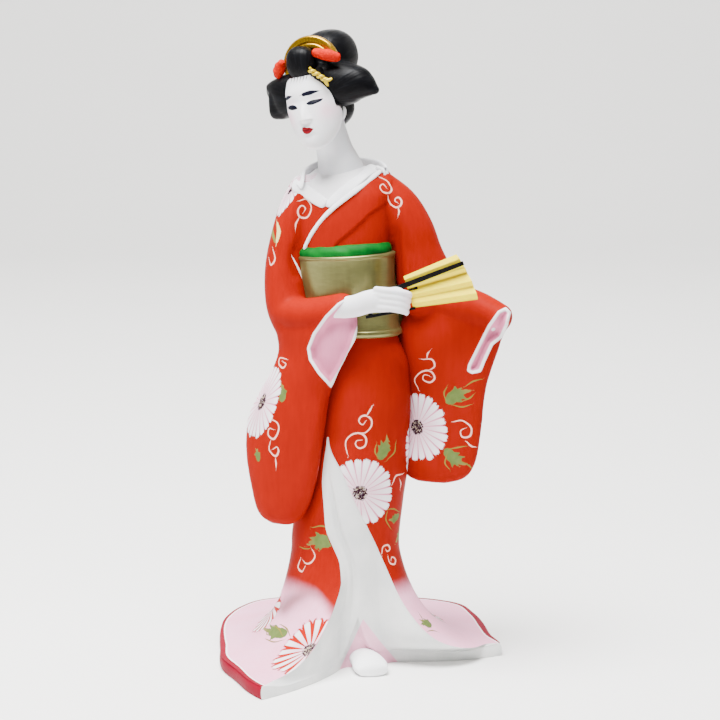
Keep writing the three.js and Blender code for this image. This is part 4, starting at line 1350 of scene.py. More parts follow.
def build_upper_robe():
    parts = [
        level_body("torso", TORSO, np.linspace(158, 250, 70), 96),
        level_body("right_bag", RIGHT_BAG, np.linspace(72.6, 186, 90), 80, 2.2),
        level_body("left_bag", LEFT_BAG, np.linspace(92.5, 189, 80), 80, 2.2),
        limb("right_arm", RIGHT_UPPER_ARM, 48, 60),
        limb("right_forearm", RIGHT_FOREARM, 48, 40),
        limb("left_arm", LEFT_UPPER_ARM, 48, 60),
        limb("left_forearm", LEFT_FOREARM, 48, 40),
    ]
    robe = joined("upper_robe", parts)
    grown_together(robe, sizes().robe_grain, 14)
    mesh = robe.data
    points = read(mesh)
    points = carve(points, RIGHT_CUFF, sizes().cuff_depth * 1000, -10, -8)
    points = carve(points, LEFT_CUFF, sizes().cuff_depth * 800, 64, -2)
    points = raised(points, LAPEL_OVER, 0.9, 0.5)
    write(mesh, raised(points, LAPEL_UNDER, 0.4, 0.5))
    for crease in CREASES:
        write(mesh, creased(read(mesh), gather(mesh.vertices, "normal"), *crease))
    points = read(mesh)
    u, v, z = to_layout(points).T
    vee = inside_by(FRONT.seen(points), BARE_VEE) * PIXEL
    bare = np.where(v < 8, vee, -3)
    well = 10 * (1 - np.hypot((u + 7.5) / 18, (v - 9) / 11))
    point_values(mesh, "bare", np.where(z > 222, np.maximum(bare, np.minimum(well, z - 243)), -3))
    point_values(mesh, "blush", FAR_ABOVE_HEM)
    point_values(mesh, "roll", FAR_FROM_EDGE)
    canvas = Canvas(robe)
    paint_upper_robe(canvas)
    canvas.keep()
    dress(robe, robe_paint(), angle=60)


# Leaves, tendrils, gold strokes and blossoms of the shoulders and sleeves, as on the skirt
SLEEVE_LEAVES = [
    (456, 394.5, 14.5, 40, -1), (453.5, 459, 13.5, -45, 1), (283, 393, 9.5, 85, 1), (258, 455, 7, 95, 1),
]
SLEEVE_TENDRILS = [
    [(377, 176), (387, 181), (391.6, 189), (388.8, 193), (383, 192), (380, 187), (383, 184), (386, 187)],
    [(388, 196), (388.6, 200), (391, 204.5), (396.4, 207.4), (400.5, 205.5), (401.5, 201), (399, 197.6),
     (395.8, 198.2), (395, 201), (397, 202.5)],
    [(398, 207), (399, 212), (398, 216)],
    [(299.8, 200.7), (306.5, 199.4), (311.3, 207.4), (307.5, 217), (299.8, 217), (298, 210.3),
     (301.7, 205.5), (305.6, 208.3), (303.7, 212)],
    [(299, 218), (296, 223.6), (295.4, 229.4)], [(273, 249.5), (275, 259), (271, 265), (269, 259)],
    [(286, 359), (280, 358), (279, 364), (283, 368), (286, 364), (283, 362)],
    [(418.4, 389), (414.6, 379.6), (421.3, 372), (430, 371), (434.7, 377.7), (430, 382.4), (423.2, 379.6),
     (424.2, 374.8), (429, 375.7)],
    [(430, 370), (434.7, 366), (431.8, 359.5), (422.3, 359.5)], [(427, 358.5), (427.5, 354), (430, 351)],
    [(453.8, 421.7), (462.4, 420.7), (471, 427.4), (470, 436), (462.4, 437), (460.5, 431), (464.4, 428.4)],
    [(467, 442), (471, 446), (475.5, 447)],
    [(265, 418), (276, 421.7), (278.8, 429.3), (274, 439), (268.3, 435), (269.2, 428.4), (273, 429.5)],
    [(270.4, 441), (269.4, 450), (275.5, 456.3), (278.6, 451), (276.5, 447), (273, 449.5)],
    [(275.5, 459), (276, 463), (276, 467.5)],
]
SLEEVE_GOLD = [
    [(447, 387), (444, 393), (446, 401)], [(466, 386), (473, 381.5), (482, 379)],
    [(453, 405), (462, 407), (471, 404.5)], [(463, 401), (470, 398), (474, 394)],
    [(447, 455), (445, 463), (449, 469)], [(450, 449), (458, 447.5), (466, 446)],
    [(462, 462), (469, 465.5), (474, 471)],
]
SLEEVE_BLOSSOMS = [
    (417, 427, 17.8, 1, 0, 1, 5), (262, 402, 20, 1, -18, 0.5), (291.5, 189, 16.5, 1, -24, 0.32),
]
SLEEVE_BLOSSOMS_BEHIND = [
    (330, 430, 17, 1, BACK), (470, 440, 17, 1, BACK), (400, 215, 14, 1, BACK),
    (386, 262, 12, 1, LEFT_SIDE),
]
SLEEVE_LEAVES_BEHIND = [
    (455, 380, 60, BACK, 1), (345, 210, 200, BACK, 1), (340, 300, 120, RIGHT_SIDE, 1),
    (380, 380, 60, LEFT_SIDE, 1),
]
SLEEVE_TENDRILS_BEHIND = [(7, -95, -5), (7, 15, -45), (0, -10, 5)]
# The two halves of the round leaf on the right sleeve: olive, and cream that is a painted highlight
OVAL_LEAF = [
    ([(273.6, 223), (272.4, 232), (275, 241.5)], OLIVE),
    ([(277.2, 223.5), (278.6, 232), (276.8, 242)], CREAM_HIGHLIGHT),
]
OBI_SIDE_EDGE = [(293, 258), (300, 272), (306, 288)]


def paint_upper_robe(canvas):
    """The sprays on shoulders and sleeves, and the cuffs."""
    canvas.fill("cuff", RIGHT_CUFF)
    canvas.fill("cuff", LEFT_CUFF)
    paint_sprays(canvas, SLEEVE_BLOSSOMS, SLEEVE_LEAVES, SLEEVE_TENDRILS, SLEEVE_GOLD)
    canvas.stroke("brush_b", OBI_SIDE_EDGE, 1.2, PALE)
    for path, tint in OVAL_LEAF:
        canvas.stroke("brush_b", path, 2.6, tint, taper=(0.6, 1.15, 0.6))
    paint_behind(canvas, SLEEVE_BLOSSOMS_BEHIND, SLEEVE_LEAVES_BEHIND, SLEEVE_TENDRILS,
                 SLEEVE_TENDRILS_BEHIND)


# Collars
# The nape is laid out by place, and the chest is laid on the robe at picture places
NAPE = [
    (-28, -2, 243), (-26.5, 7, 246), (-19, 16.5, 249), (-6, 21, 250.5), (7, 17, 250), (13, 8, 248.5),
    (13.6, 1, 247),
]
LAPEL_NAPE = [
    (-28, 11, 243), (-23, 17.5, 245), (-13, 22, 246.5), (-2, 22.5, 247), (8, 20, 246.5), (14.5, 14, 244),
    (16.8, 8.5, 241.5),
]
COLLAR_WIDTHS = [2.2, 3, 3.2, 3.4, 3.6, 3.8, 3.8, 3.6, 3.4, 3.2, 3, 2.6, 1.6]
EDGE_WIDTHS = [0.9, 1.3, 1.3, 1.2, 1.1, 1.0, 0.9]
LAPEL_WIDTHS = [2.6, 4.2, 4.8, 4.8, 4.6, 4.2, 2.6]
COLLAR_LEFT_CHEST = [(326, 205), (320, 201), (309, 193.5), (298, 186)]
COLLAR_RIGHT_CHEST = [(374, 169), (362, 178), (348, 189), (336, 199), (327.5, 206.5)]
ROBE_EDGE = [
    (384, 169.5), (374, 176.5), (358, 189), (343, 200.5), (331, 210.5), (321, 221.5), (311.5, 235),
    (304.5, 250),
]


def cast_on(piece, path, eye=FRONT, lift=0.0):
    """Layout places and normals where picture places meet a piece or pass close over it."""
    mesh = piece.data
    points = read(mesh)
    seen = eye.seen(points)
    tree = tree_of(mesh, points)
    places, normals = [], []
    for x, y in path:
        start, heading = eye.ray(x, y)
        place, normal, _, _ = tree.ray_cast(start, heading)
        if place is None:
            near = np.hypot(seen[:, 0] - x, seen[:, 1] - y).argmin()
            if np.hypot(*(seen[near] - (x, y))) > 14:
                raise RuntimeError(f"{piece.name} isn't met near {x}, {y}")
            place = start + heading * (Vector(points[near]) - start).dot(heading)
            normal = mesh.vertices[int(near)].normal
        places.append(np.array(place) + np.array(normal) * lift / 1000)
        normals.append(np.array(normal) / 1000)
    return to_layout(np.array(places)), unit(to_layout(np.array(normals)))


def ribbon(name, path, normals, widths, thick, count=160, around=28, power=2.6):
    """A band laid along a path, flat against the normals."""
    t = np.linspace(0, 1, count + 1)
    centre, side = along(path, t), unit(along(normals, t))
    heading = unit(np.gradient(centre, axis=0))
    up = unit(np.cross(heading, side))
    side = np.cross(up, heading)
    width = np.interp(t, np.linspace(0, 1, len(widths)), widths)
    end = np.minimum(np.minimum(t, 1 - t) * count / 5, 1)
    round_end = np.sqrt(np.clip(1 - (1 - end) ** 2, 0.02, 1))
    rings = oval_rings(centre, side, up, thick * round_end, width * round_end, around, power)
    return ring_body(name, rings, centre[0], centre[-1])


def out_of_nape(path, rise):
    """Normals that look away from the neck."""
    u, v, _ = np.array(path, float).T
    return unit(np.stack([u + 9, v - 5, np.full(len(u), float(rise))], 1))


def build_collars():
    robe = bpy.data.objects["upper_robe"]
    left, left_normals = cast_on(robe, COLLAR_LEFT_CHEST, lift=0.2)
    right, right_normals = cast_on(robe, COLLAR_RIGHT_CHEST, lift=0.5)
    path = np.vstack([left, NAPE, right])
    normals = np.vstack([left_normals, out_of_nape(NAPE, 3), right_normals])
    line, line_normals = cast_on(robe, ROBE_EDGE, lift=0.4)
    collar = ribbon("collar_white", path, normals, COLLAR_WIDTHS, 1.1, 220)
    edge = ribbon("robe_edge", line, line_normals, EDGE_WIDTHS, 0.8)
    white = plain_clay("collar_white", srgb(247, 247, 248), 0.1, 0.5, tone=srgb(234, 234, 238))
    dress(collar, white)
    dress(edge, white)
    lapel = ribbon("lapel_nape", LAPEL_NAPE, out_of_nape(LAPEL_NAPE, 4), LAPEL_WIDTHS, 1.3)
    point_values(lapel.data, "blush", FAR_ABOVE_HEM)
    point_values(lapel.data, "roll", FAR_FROM_EDGE)
    dress(lapel, robe_paint())


# Obi
def build_obi():
    steps = np.array(OBI_PROFILE)[:, 0]
    climb = [np.linspace(a, b, 4)[:-1] for a, b in zip(steps, steps[1:])]
    heights = np.append(np.concatenate(climb), steps[-1])
    obi = level_body("obi", TORSO, heights, 128, 2, sample(OBI_PROFILE, heights)[:, 0])
    dress(obi, gold_paint())
    build_chest_band()
    build_knot()


def build_chest_band():
    """The green band over the obi, a little puckered."""
    band = level_body("chest_band", CHEST_BAND, np.linspace(203, 213.4, 30), 128, 2, -1.6)
    points = read(band.data)
    u, v, z = to_layout(points).T
    turn = np.arctan2(u + 7.7, -v)
    pucker = 0.25 * np.sin(turn * 9 + z) * np.cos(turn * 4)
    write(band.data, points + unit(points * (1, 1, 0)) * (pucker / 1000)[:, None])
    green = plain_clay("band_green", paints().band_green[:], 0.5, 0.5, 0.0002, tone=srgb(0, 100, 32))
    dress(band, green)


def build_knot():
    """The knot behind, with its folded lower flap and the cord groove across it."""
    low, high = KNOT_LOW, KNOT_LOW + KNOT_HEIGHT
    table = [(low + up * KNOT_HEIGHT, 5, v, KNOT_WIDTH / 2 * wide, KNOT_DEPTH / 2 * deep, -25)
             for up, v, wide, deep in KNOT]
    knot = level_body("obi_knot", table, np.linspace(low, high, 60), 120, 3.6)
    points = read(knot.data)
    _, v, z = to_layout(points).T
    groove = 0.8 * np.exp(-((z - low - 18) / 0.7) ** 2) + 0.6 * np.exp(-((z - low - 36) / 0.6) ** 2)
    out = np.array([*spun(0, 1, TURN - 0.44), 0])
    write(knot.data, points - out * (groove * smooth((v - 23) / 3) / 1000)[:, None])
    dress(knot, gold_paint())


# Head
# Swells and hollows of the face: across, up, half width, half height, amount. They are nostrils, eye hollows,
# lids, lips, the line between them, the dip under them, chin and cheeks
FACE_SWELLS = [
    (-2.3, -5.6, 1.1, 1.1, 0.5), (1.5, -5.6, 1.1, 1.1, 0.5), (5.2, 2.6, 3.4, 2.2, -0.55),
    (-6.2, 2.6, 3.4, 2.2, -0.55), (5.4, 1.2, 2.6, 1.1, 0.35), (-6.4, 1.2, 2.6, 1.1, 0.35),
    (-0.6, -9.6, 2.4, 0.75, 0.65), (-0.6, -11.3, 1.9, 0.8, 0.7), (-0.6, -10.4, 2.6, 0.28, -0.35),
    (-0.6, -13.2, 2.8, 0.9, -0.4), (-0.6, -16.3, 3.6, 2.2, 0.6), (6.5, -5, 4.5, 4.5, 0.35),
    (-7.5, -5, 4.5, 4.5, 0.35),
]
# Rouge: across, up, half width, half height, strength
ROUGE = [
    (9.5, -3.6, 3.6, 4.2, 0.55), (-10, -3.6, 3.6, 4.2, 0.55), (6.5, 3.4, 3, 1.6, 0.22),
    (-7.5, 3.4, 3, 1.6, 0.22),
]
# Painted face, at picture places
LIPS = [
    (302.3, 127.6), (304.6, 127.0), (306.6, 127.9), (309.4, 127.4), (313.6, 128.8), (311.6, 131.6),
    (309.2, 133.8), (306.4, 134.3), (303.8, 133.2), (302.0, 130.4),
]
LIP_LINE = [(304.4, 130.6), (308, 130.9), (312.2, 129.8)]
LEFT_EYE = [
    (305.8, 103.6), (308.4, 101.4), (312.0, 99.9), (317.0, 99.0), (323.6, 98.2), (321.4, 100.9),
    (316.5, 103.3), (312.0, 104.9), (308.2, 105.3),
]
RIGHT_EYE = [
    (287.6, 107.8), (289.6, 105.6), (292.8, 104.9), (295.8, 105.9), (297.8, 108.6), (295.2, 109.8),
    (291.8, 110.4), (289.2, 109.6),
]
LEFT_BROW = [(303.2, 94.6), (308, 93.2), (313, 92.0), (318, 91.0)]
RIGHT_BROW = [(285.8, 99.8), (287.4, 98.0), (291.0, 96.6)]
BRISTLES = [[(x, 82 - 0.2 * (x - 291)), (x + 1.4, 75)] for x in (291, 294, 297, 300, 303, 306)]
# The hair's edge on the head: angle from the front, height
HAIRLINE = [
    (-180, -14), (-100, -8), (-80, -3.5), (-68, -2), (-62, 6), (-52, 12), (-35, 14.2), (0, 14.2),
    (25, 13.8), (42, 10.5), (56, 6.5), (64, 3), (68, -2.4), (80, -3.5), (100, -8), (180, -14),
]
EAR = [
    (11.6, 0.8, -3.4, 0.8, 1.2), (12.2, 1.2, -5, 0.9, 1.5), (12.0, 1.0, -7.0, 0.8, 1.3),
    (11.2, 0.4, -9.0, 0.7, 0.8),
]


def swellings(rows, across, up, start=0):
    """Soft round swellings added up: each row has a place, half sizes and an amount."""
    return sum((amount * np.exp(-((across - x) / wide) ** 2 - ((up - z) / high) ** 2)
                for x, z, wide, high, amount in rows), start)


def face_rings():
    z = np.concatenate([[-20], np.linspace(-19.7, 16.4, 150)])
    rings = level_rings(FACE, z, 200)
    x, y, height = rings[..., 0], rings[..., 1], rings[..., 2]
    away = unit(np.stack([x, y + 2.5, x * 0], -1))
    front = smooth(-(y + 4) / 6)

    nose = sizes().nose_height * 1000
    ridge = nose * smooth((3.5 - height) / 8.5) * smooth((height + 7.4) / 1.9)
    lift = ridge * np.exp(-((x + 0.4) / (1.25 + 0.75 * smooth((2 - height) / 8))) ** 2)
    lift = swellings(FACE_SWELLS, x, height, lift)
    return rings + away * (lift * front)[..., None]


def build_face():
    rings = face_rings()
    face = ring_body("face", rings, rings[0].mean(0) - [0, 0, 0.4], rings[-1].mean(0), place_head)
    mesh = face.data
    x, y, z = from_head(to_layout(read(mesh))).T
    turn = np.degrees(np.arctan2(x, -(y + 1.5)))
    point_values(mesh, "hairline", z - sample(HAIRLINE, turn)[:, 0] + 1.4)
    point_values(mesh, "rouge", np.clip(swellings(ROUGE, x, z), 0, 1) * (y < -2))
    canvas = Canvas(face)
    canvas.fill("lips", LIPS, facing=-0.3)
    canvas.fill("eyes", LEFT_EYE)
    canvas.fill("eyes", RIGHT_EYE)
    canvas.stroke("brush_a", LEFT_BROW, 2.1, INK, taper=(0.9, 1.1, 0.35))
    canvas.stroke("brush_a", RIGHT_BROW, 1.9, INK, taper=(0.6, 1.1, 0.5))
    for path in BRISTLES:
        canvas.stroke("brush_b", path, 0.45, INK)
    canvas.stroke("brush_b", LIP_LINE, 0.3, INK)
    canvas.keep()
    dress(face, skin_paint())
    dress(limb("neck", NECK, 96, 60), skin_paint())
    dress(head_limb("ear", EAR, 24, 30), skin_paint())


def lobe(name, x, y, z, a, b, c, tilt=0, power=2.0):
    """One swelling of the hair, in the head's frame."""
    around, count = 64, 40
    polar = np.pi * (1 - np.arange(1, count + 1) / (count + 1))
    waist, rise = squared(np.sin(polar), power)[:, None], squared(np.cos(polar), power)[:, None]
    cw, sw = oval(around, power)
    rings = np.stack([a * waist * cw, b * waist * sw, np.repeat(c * rise, around, 1)], -1)

    def leant(points):
        px, py, pz = np.moveaxis(points, -1, 0)
        pz, px = spun(pz, px, math.radians(tilt))
        return np.stack([x + px, y + py, z + pz], -1)

    low, high = np.array([(0, 0, -c), (0, 0, c)], float)
    return ring_body(name, leant(rings), leant(low), leant(high), place_head)


# Swellings of the hair: name, centre, half sizes, tilt and power; and its two wings, with their ends in rows
LOBES = [
    ("crown", 0.5, 4.5, 8.5, 15, 14.5, 13.5), ("nape", 0, 11, -3.5, 12.8, 9.5, 10),
    ("tuft", 0.6, -7.4, 20.3, 6.9, 5.8, 7.6, 13, 2.5), ("bun", 5.6, 12.5, 20.4, 13.2, 15, 12.4, 0, 2.2),
    ("wing_b_end", -17.9, 1, 4.6, 4.7, 7.6, 7.8, 12, 4),
]
LEFT_WING = [
    (4, 3, 8, 10, 10), (11, 3, 7, 10.8, 10.8), (17, 3, 5.8, 9.8, 9.8), (22, 3, 4.4, 8.2, 7.7),
    (25.2, 3, 2.7, 6, 6), (27.6, 3, 1.1, 3.8, 4.2), (29.4, 3, -0.1, 2, 2.6),
]
RIGHT_WING = [
    (-4, 2, 8, 9.4, 10), (-10, 1.5, 7.2, 10, 10.6), (-15, 1, 6.6, 9.7, 9.6), (-18.6, 1, 6.2, 9.3, 7.2),
    (-20.4, 1, 5.6, 8.4, 3.4),
]
HAIR_GRAIN, HAND_GRAIN = 0.0006, 0.00045


def build_hair():
    parts = [lobe(*numbers) for numbers in LOBES]
    parts.append(head_limb("wing_a", LEFT_WING, 64, 60, power=2.2))
    parts.append(head_limb("wing_b", RIGHT_WING, 64, 60, power=3))
    hair = joined("hair", parts)
    grown_together(hair, HAIR_GRAIN, 14)
    x, y, z = from_head(to_layout(read(hair.data))).T
    strand = np.stack([np.arctan2(x - 1, z - 2) * 16, y, np.hypot(x - 1, z - 2)], 1)
    store = hair.data.attributes.new("strand", "FLOAT_VECTOR", "POINT")
    store.data.foreach_set("vector", strand.astype(np.float32).ravel())
    dress(hair, hair_paint())


CUSHION_LEFT = [
    (9, -8, 23.2, 2, 2), (11.8, -7.4, 22, 2.5, 2.4), (14.8, -6.4, 20.4, 2.7, 2.6), (18, -5, 18.8, 2.1, 2),
]
CUSHION_RIGHT = [
    (-9.6, -6.8, 22.4, 1.7, 2), (-11, -6, 21, 2.6, 2.4), (-12.6, -5.4, 19, 2.8, 2.6),
    (-13.6, -5, 17.4, 2.2, 2.2),
]
# Comb: its centre and half sizes across and up, and its ends in degrees from the top
COMB_CENTRE, COMB_HALF, COMB_ENDS = (3.4, 18.2), (13.7, 13), (-96, 76)
# Comb bands: how far in they run, half width, place in depth
COMB_BANDS = [(1.3, 1.9, -2.6), (4.2, 1.4, -3.0)]
# Pin: start and run of its strands, their twist in turns and their half sizes, and the fork at its end
PIN_START, PIN_RUN, PIN_TURNS, PIN_STRAND = (6.2, -12.2, 16.2), (6.8, 1.6, -7), 2.1, (0.62, 0.55)
PIN_FORK = [(12.2, -11.2, 9.8, 0.7, 0.6), (13.8, -10.6, 9.6, 0.75, 0.6), (15, -9.9, 9.9, 0.5, 0.45)]
PIN_FORK_LOW = [(12, -11.3, 9.4, 0.7, 0.6), (12.6, -11.1, 8.2, 0.8, 0.6), (12.8, -10.9, 7.2, 0.5, 0.45)]


def build_comb():
    bands = []
    (across, rise), (wide, high) = COMB_CENTRE, COMB_HALF
    for inset, half, front in COMB_BANDS:
        arc = [(across + (wide - inset) * math.sin(t), front, rise + (high - inset) * math.cos(t), half, 1.7)
               for t in np.radians(np.linspace(*COMB_ENDS, 15))]
        bands.append(head_limb("comb_band", arc, 28, 110, (0, 1, 0), 3))
    dress(joined("comb", bands), gold_paint("comb_gold", srgb(166, 126, 16), 0.85, 0.28))


def build_cushion(name, rows):
    """A puffed cloth cushion with soft gathers."""
    cushion = head_limb(name, rows, 40, 50)
    local = from_head(to_layout(read(cushion.data)))
    x, y, z = local.T
    fold = 0.14 * np.sin(x * 1.5 + z * 1.2) * np.cos(y * 0.9)
    away = unit(local - np.array(rows)[1:3, :3].mean(0))
    write(cushion.data, to_doll(place_head(local + away * fold[:, None])))
    dress(cushion, kanoko_paint())


def build_pin():
    """A hairpin of two twisted strands, forked at its end."""
    strands = []
    t = np.linspace(0, 1, 15)
    centre = np.array(PIN_START) + np.outer(t, PIN_RUN)
    for phase in (0, math.pi):
        swing = phase + PIN_TURNS * 2 * math.pi * t
        twist = np.stack([0.35 * np.cos(swing), 0.5 * np.sin(swing), 0.75 * np.cos(swing)], 1)
        rows = np.hstack([centre + twist, np.tile(PIN_STRAND, (len(t), 1))])
        strands.append(head_limb("pin_strand", rows, 14, 80))
    strands.append(head_limb("pin_fork", PIN_FORK, 14, 20))
    strands.append(head_limb("pin_fork_low", PIN_FORK_LOW, 14, 20))
    dress(joined("hair_pin", strands), gold_paint("pin_gold", srgb(190, 164, 14), 0.3, 0.35))


def build_hair_ornaments():
    build_comb()
    build_cushion("hair_cushion_left", CUSHION_LEFT)
    build_cushion("hair_cushion_right", CUSHION_RIGHT)
    build_pin()


# Hands and foot
PALM = [
    (-11, -24.5, 183, 5.2, 5.4), (-2, -29, 184.5, 4.8, 5.4), (5, -32, 187, 4.2, 5.6),
    (12, -33.6, 188, 3.0, 6), (17.5, -34.2, 188, 2.2, 5.6),
]
# A finger from its knuckle, where the fingers lie over the fan
FINGER = [
    (-8, -34.2, 1, 1.5, 1.5), (-3, -35.6, 0.5, 1.7, 1.7), (2, -36, 0, 1.85, 1.85),
    (5, -36, -0.6, 1.75, 1.8), (8, -34.6, -1.6, 1.65, 1.65), (8.4, -31.4, -2.6, 1.4, 1.4),
]
KNUCKLE, NEXT_KNUCKLE = (16.5, 0, 192.4), (-0.5, 0, -2.75)
THUMB = [
    (8, -33.6, 190.5, 2.2, 2.4), (14, -34.6, 192, 2.1, 2.3), (19, -34.8, 192.6, 2, 2.6),
    (22, -34, 191.4, 1.4, 2.4),
]
LEFT_HAND = [(59, -14.5, 178, 3, 4), (64, -17.6, 177, 2.6, 4.2), (66.4, -18.8, 172.5, 2, 3)]
FOOT = [(2, -12, 4.5, 7, 5), (4.5, -20, 4.5, 8, 5), (6, -27, 3.8, 8.8, 4.8), (7.2, -31.5, 3, 8, 3.8)]


def build_hands():
    parts = [limb("palm", PALM, 48, 50, (0, 0, 1))]
    for i in range(4):
        rows = np.array(FINGER, float)
        rows[:, :3] += np.add(KNUCKLE, np.multiply(NEXT_KNUCKLE, i))
        parts.append(limb("finger", rows, 24, 30, (0, 0, 1)))
    parts.append(limb("thumb", THUMB, 24, 24))
    right = joined("right_hand", parts)
    grown_together(right, HAND_GRAIN, 5)
    point_values(right.data, "rouge", 0.25 * smooth((to_layout(read(right.data))[:, 0] - 20) / 5))
    for hand in (right, limb("left_hand", LEFT_HAND, 32, 30)):
        point_values(hand.data, "hairline", FAR_FROM_EDGE)
        dress(hand, skin_paint())


def build_foot():
    foot = limb("foot", FOOT, 64, 50, (0, 0, 1), cap=8)
    points = read(foot.data)
    points[:, 2] = np.maximum(points[:, 2], 0)
    write(foot.data, points)
    dress(foot, plain_clay("sock_white", srgb(248, 248, 250), 0.08, 0.5))


# Fan
def to_fan(points):
    """Fan millimetres, with the leaf in the XZ plane, into layout millimetres."""
    x, y, z = np.moveaxis(points, -1, 0)
    return np.stack([*spun(x, y, FAN_YAW), z], -1) + np.array(FAN_PIVOT)


def blunted(piece, width, segments):
    """Rounds a piece's sharp edges."""
    finish_with(piece, "BEVEL", width=width, segments=segments, limit_method="ANGLE",
                angle_limit=math.radians(40))


def stick(name, low, high, width, depth, y):
    """One flat lacquered stick between two places of the fan's plane, narrower at its outer end."""
    deselect()
    bpy.ops.mesh.primitive_cube_add(size=1)
    made = bpy.context.object
    made.name = made.data.name = name
    bpy.ops.object.mode_set(mode="EDIT")
    bpy.ops.mesh.select_all(action="SELECT")
    bpy.ops.mesh.subdivide(number_cuts=6)
    bpy.ops.object.mode_set(mode="OBJECT")
    co = read(made.data)
    t = co[:, 0] + 0.5
    run = np.subtract(high, low)
    along_x, along_z = run / np.hypot(*run)
    z = co[:, 2] * width * (1.1 - 0.25 * t)
    across, rise = low[0] + run[0] * t - z * along_z, low[1] + run[1] * t + z * along_x
    write(made.data, to_doll(to_fan(np.stack([across, y + co[:, 1] * depth, rise], -1))))
    blunted(made, 0.0003, 2)
    return made


def build_fan():
    deselect()
    bpy.ops.mesh.primitive_grid_add(x_subdivisions=120, y_subdivisions=30, size=2)
    leaf = bpy.context.object
    leaf.name = leaf.data.name = "fan_leaf"
    co = read(leaf.data)
    down, out = (co[:, :1] + 1) / 2, (co[:, 1:2] + 1) / 2
    inner_low, outer_low, outer_high, inner_high = np.array(FAN_LEAF)
    inner = inner_high + (inner_low - inner_high) * down
    outer = outer_high + (outer_low - outer_high) * down
    fold = np.interp(down[:, 0], *np.transpose(FAN_FOLDS))
    bulge = LEAF_BULGE * down * (1 - down) * 4 + LEAF_NOTCH * fold[:, None]
    place = inner + (outer - inner) * (out + out * bulge)
    lift = sizes().pleat_height * 1000 * (0.5 + 0.5 * out[:, 0]) * fold
    write(leaf.data, to_doll(to_fan(np.stack([place[:, 0], -lift, place[:, 1]], -1))))
    # Where the pleats' valleys lie, for the painted shade in them
    point_values(leaf.data, "painted_valley_shade", smooth((-fold + 0.15) / 1.1))
    finish_with(leaf, "SOLIDIFY", thickness=0.0009, offset=0)
    face_outwards(leaf)
    dress(leaf, fan_paper(), "fan", 25)
    parts = [stick("fan_stick", *numbers) for numbers in FAN_STICKS]
    deselect()
    bpy.ops.mesh.primitive_cylinder_add(vertices=32, radius=1.1, depth=2.4)
    rivet = bpy.context.object
    co = read(rivet.data)
    write(rivet.data, to_doll(to_fan(co[:, [0, 2, 1]] * (1, 1, -1) + RIVET_AT)))
    blunted(rivet, 0.0003, 3)
    sticks = joined("fan_sticks", parts + [rivet])
    dress(sticks, lacquer(), "fan", 30)


# Stage
# Lights: name, place and aim in layout millimetres, size and power
LIGHTS = [
    ("key_light", (-230, -350, 1380), (0, 0, 150), 1.0, 103),
    ("fill_light", (-600, -1300, 400), (0, 0, 180), 0.6, 2),
    ("wall_light", (0, 1300, 1700), (-300, 2950, 300), 2.2, 56),
]
# Colour and strength of the light from all sides
SKY = ((0.9, 0.92, 0.95, 1), 0.2)
# Floor: its size in metres, the wall's height and the round between them
FLOOR, WALL, ROUND = 6, 4, 0.9


def hang(name, data, place, heading):
    """A lamp or a camera, set at a place and aimed."""
    holder = bpy.data.objects.new(name, data)
    bpy.context.scene.collection.objects.link(holder)
    holder.location = place
    holder.rotation_euler = Vector(heading).to_track_quat("-Z", "Y").to_euler()
    return holder


def soft_light(name, place, aim, size, power):
    place, aim = to_doll(np.array([place, aim], float))
    lamp = bpy.data.lights.new(name, "AREA")
    lamp.shape, lamp.size, lamp.energy = "DISK", size, power
    hang(name, lamp, place, aim - place)


def floor_paint():
    """Pale paper, greyer far in front of the doll, so that it throws less light back at it."""
    def lay(paint):
        place = paint.place()
        colour = paint.mix(paint.noise(place, 0.004, 3), srgb(249, 248, 246), srgb(244, 243, 241))
        x, y, _ = paint.parts(place)
        depth = y * math.cos(TURN) - x * math.sin(TURN)
        colour = paint.mix(paint.between(depth, -220, -620), colour, srgb(126, 126, 126))
        paint.finish(colour, 0.8, paint.noise(place, 0.5, 3), 0.00005)
    return once("studio_floor", lay)


def build_stage():
    deselect()
    bpy.ops.mesh.primitive_plane_add(size=1, location=(0, 0, 0))
    floor = bpy.context.object
    floor.name = floor.data.name = "floor"
    x, y, z = read(floor.data).T
    write(floor.data, np.stack([*spun(x * FLOOR, y * FLOOR, TURN), z], -1))
    bpy.ops.object.mode_set(mode="EDIT")
    bm = bmesh.from_edit_mesh(floor.data)
    far = Vector(spun(0, 1, TURN))
    for edge in bm.edges:
        edge.select_set(all(far.dot(v.co.xy) > 1 for v in edge.verts))
    bmesh.update_edit_mesh(floor.data)
    bpy.ops.mesh.extrude_region_move(TRANSFORM_OT_translate={"value": (0, 0, WALL)})
    bpy.ops.object.mode_set(mode="OBJECT")
    blunted(floor, ROUND, 14)
    floor.data.materials.append(floor_paint())
    soft_shade(floor, 60)
    for light in LIGHTS:
        soft_light(*light)
    world = bpy.context.scene.world or bpy.data.worlds.new("studio")
    bpy.context.scene.world = world
    world.use_nodes = True
    ground = world.node_tree.nodes["Background"]
    for socket, value in zip(ground.inputs, SKY):
        socket.default_value = value
    view = bpy.data.cameras.new("view")
    view.lens, view.sensor_width, view.clip_end = CAMERA_LENS, CAMERA_SENSOR, 20
    bpy.context.scene.camera = hang("view", view, FRONT.place / 1000, FRONT.forward)


# Operators
class DollSkirt(bpy.types.Operator):
    """Model and paint the skirt, its lining and the trailing hem"""
    bl_idname = "doll.skirt"
    bl_label = "Skirt and hem"

    def execute(self, context):
        build_skirt()
        return {"FINISHED"}


class DollUpperRobe(bpy.types.Operator):
    """Model and paint the shoulders, sleeves and cuffs"""
    bl_idname = "doll.upper_robe"
    bl_label = "Upper robe"

    def execute(self, context):
        build_upper_robe()
        return {"FINISHED"}


class DollCollars(bpy.types.Operator):
    """Lay the white collars and the red lapels"""
    bl_idname = "doll.collars"
    bl_label = "Collars"

    def execute(self, context):
        build_collars()
        return {"FINISHED"}


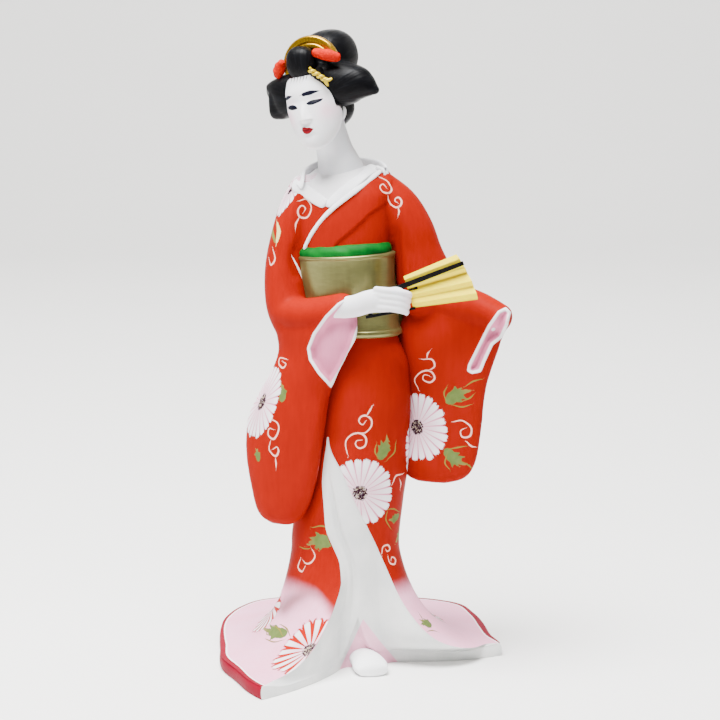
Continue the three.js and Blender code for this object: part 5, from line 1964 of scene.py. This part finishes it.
class DollObi(bpy.types.Operator):
    """Wind the gold obi with its chest band and knot"""
    bl_idname = "doll.obi"
    bl_label = "Obi"

    def execute(self, context):
        build_obi()
        return {"FINISHED"}


class DollFace(bpy.types.Operator):
    """Model the head and neck and paint the face"""
    bl_idname = "doll.face"
    bl_label = "Face and neck"

    def execute(self, context):
        build_face()
        return {"FINISHED"}


class DollHair(bpy.types.Operator):
    """Dress the hair in its bun, wings and front tuft"""
    bl_idname = "doll.hair"
    bl_label = "Hair"

    def execute(self, context):
        build_hair()
        return {"FINISHED"}


class DollOrnaments(bpy.types.Operator):
    """Set the comb, the red cushions and the twisted pin in the hair"""
    bl_idname = "doll.ornaments"
    bl_label = "Hair ornaments"

    def execute(self, context):
        build_hair_ornaments()
        return {"FINISHED"}


class DollHands(bpy.types.Operator):
    """Model both hands"""
    bl_idname = "doll.hands"
    bl_label = "Hands"

    def execute(self, context):
        build_hands()
        return {"FINISHED"}


class DollFoot(bpy.types.Operator):
    """Model the foot that shows under the robe"""
    bl_idname = "doll.foot"
    bl_label = "Foot"

    def execute(self, context):
        build_foot()
        return {"FINISHED"}


class DollFan(bpy.types.Operator):
    """Pleat the fan and set its lacquered sticks"""
    bl_idname = "doll.fan"
    bl_label = "Fan"

    def execute(self, context):
        build_fan()
        return {"FINISHED"}


class DollStage(bpy.types.Operator):
    """Lay the floor and set lights and camera"""
    bl_idname = "doll.stage"
    bl_label = "Stage"

    def execute(self, context):
        build_stage()
        return {"FINISHED"}


STEPS = [
    DollSkirt, DollUpperRobe, DollCollars, DollObi, DollFace, DollHair, DollOrnaments, DollHands,
    DollFoot, DollFan, DollStage,
]


class DollPanel(bpy.types.Panel):
    """Buttons for each piece of the doll"""
    bl_idname = "VIEW3D_PT_clay_lady"
    bl_label = "Clay lady"
    bl_space_type = "VIEW_3D"
    bl_region_type = "UI"
    bl_category = "Clay lady"

    def draw(self, context):
        for group in (context.scene.doll_sizes, context.scene.doll_paints):
            for name in group.__annotations__:
                self.layout.prop(group, name)
        for step in STEPS:
            self.layout.operator(step.bl_idname)


CLASSES = [DollSizes, DollPaints, *STEPS, DollPanel]


def register():
    for kind in CLASSES:
        bpy.utils.register_class(kind)
    bpy.types.Scene.doll_sizes = bpy.props.PointerProperty(type=DollSizes)
    bpy.types.Scene.doll_paints = bpy.props.PointerProperty(type=DollPaints)


def unregister():
    del bpy.types.Scene.doll_sizes
    del bpy.types.Scene.doll_paints
    for kind in reversed(CLASSES):
        bpy.utils.unregister_class(kind)


def main():
    register()
    for step in STEPS:
        group, name = step.bl_idname.split(".")
        getattr(getattr(bpy.ops, group), name)()


if __name__ == "__main__":
    main()
